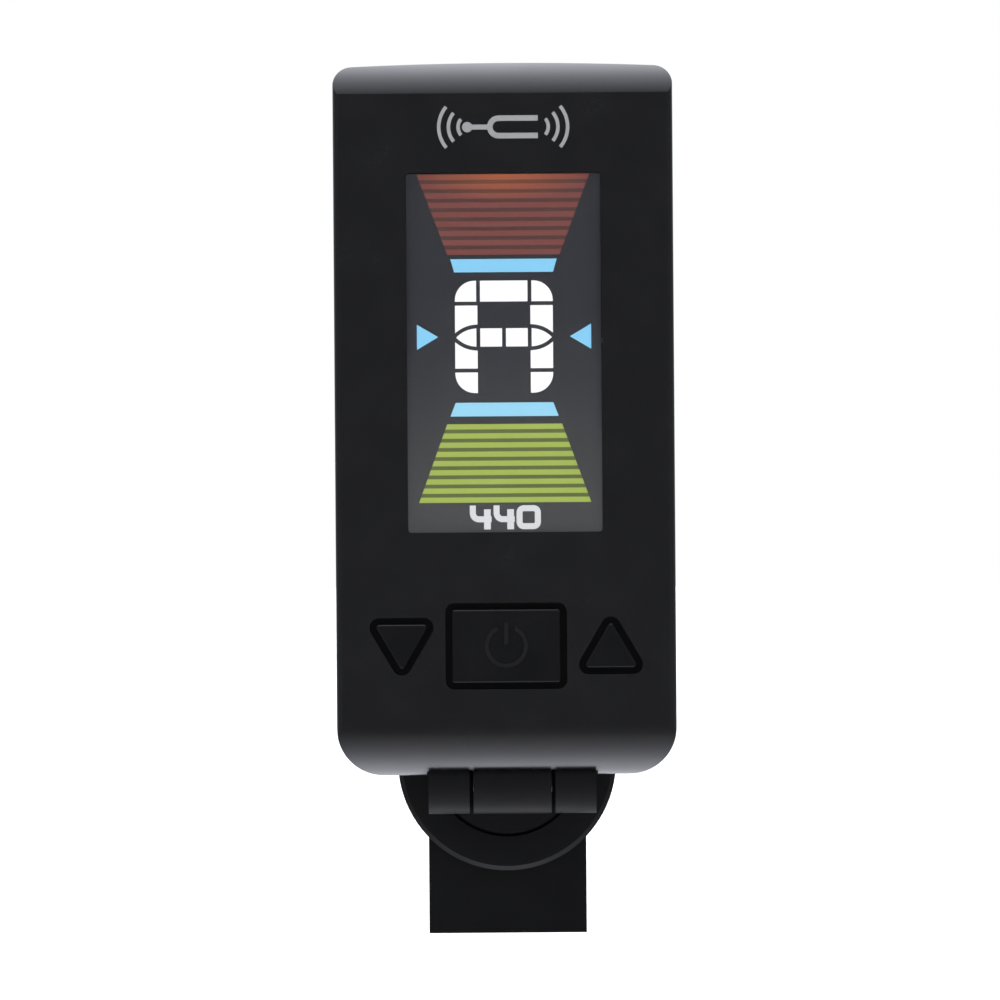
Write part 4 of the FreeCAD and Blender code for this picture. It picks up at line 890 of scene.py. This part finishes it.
def surroundings():
    """A white studio above, below and behind; dark at the sides and where the camera stands."""
    world = bpy.data.worlds.new("studio")
    bpy.context.scene.world = world
    world.use_nodes = True
    tree = world.node_tree
    tree.nodes.clear()
    place = tree.nodes.new("ShaderNodeTexCoord")
    split = tree.nodes.new("ShaderNodeSeparateXYZ")
    tree.links.new(place.outputs["Generated"], split.inputs["Vector"])
    ramp = colour_ramp(tree, [(position, (shade / STUDIO_TOP,) * 3)
                              for position, shade in STUDIO_SHADES])
    tree.links.new(spread(tree, split.outputs["Y"], 0.0, 1.0, -1.0, 1.0), ramp.inputs["Fac"])
    aside = add(tree, "ShaderNodeMath", operation="ABSOLUTE")
    tree.links.new(split.outputs["X"], aside.inputs[0])
    sides = spread(tree, aside.outputs["Value"], STUDIO_TOP, STUDIO_TOP * STUDIO_SIDES, 0.15, 0.8)
    above = spread(tree, split.outputs["Z"], 1.0, STUDIO_ABOVE, 0.35, 0.75)
    level = product(tree, product(tree, ramp.outputs["Color"], sides), above)
    lighting = add(tree, "ShaderNodeBackground", Color=(*STUDIO_TINT, 1))
    tree.links.new(level, lighting.inputs["Strength"])
    backdrop = add(tree, "ShaderNodeBackground", Color=(1, 1, 1, 1))
    seen = tree.nodes.new("ShaderNodeLightPath")
    pick = tree.nodes.new("ShaderNodeMixShader")
    tree.links.new(seen.outputs["Is Camera Ray"], pick.inputs["Fac"])
    tree.links.new(lighting.outputs["Background"], pick.inputs[1])
    tree.links.new(backdrop.outputs["Background"], pick.inputs[2])
    out = tree.nodes.new("ShaderNodeOutputWorld")
    tree.links.new(pick.outputs["Shader"], out.inputs["Surface"])


def floor():
    """A wide pale floor, far enough down for the display to hang from the hinge."""
    form = bmesh.new()
    bmesh.ops.create_grid(form, x_segments=FLOOR_SEGMENTS, y_segments=FLOOR_SEGMENTS,
                          size=FLOOR_HALF)
    mesh = bpy.data.meshes.new("floor")
    form.to_mesh(mesh)
    form.free()
    made = bpy.data.objects.new("floor", mesh)
    made.location = (0, 0, FLOOR_HEIGHT)
    made.visible_glossy = False
    bpy.context.scene.collection.objects.link(made)
    material, tree, shader = new_material("floor_white")
    shade = noise(tree, surface_place(tree), 3.0, 3.0)
    tree.links.new(tint(tree, shade, (0.90, 0.90, 0.90), (0.94, 0.94, 0.94)),
                   shader.inputs["Base Color"])
    shader.inputs["Roughness"].default_value = 0.9
    mesh.materials.append(material)


def overhead_light():
    """A wide soft light from straight above, which whitens the floor round a soft shadow."""
    data = bpy.data.lights.new("overhead", "SUN")
    data.energy = SUN_STRENGTH
    data.angle = math.radians(SUN_SPREAD)
    made = bpy.data.objects.new("overhead", data)
    made.visible_glossy = False
    bpy.context.scene.collection.objects.link(made)


def studio():
    """The white studio, shown with plain colour and no filmic curve."""
    surroundings()
    floor()
    overhead_light()
    bpy.context.scene.view_settings.view_transform = "Standard"
    bpy.context.scene.view_settings.look = "None"


finishes()
soften_edges(0.12 * MM, "front_arm", "rear_arm")
soften_edges(0.08 * MM, "hinge_bracket", "turntable", "battery_door")
display_ground()
sharp_and_flat_fans()
blue_bars_and_pointers()
note_letter()
pitch_digits()
tuning_fork_mark()
power_sign()
torsion_spring()
door_arrows()
camera()
studio()
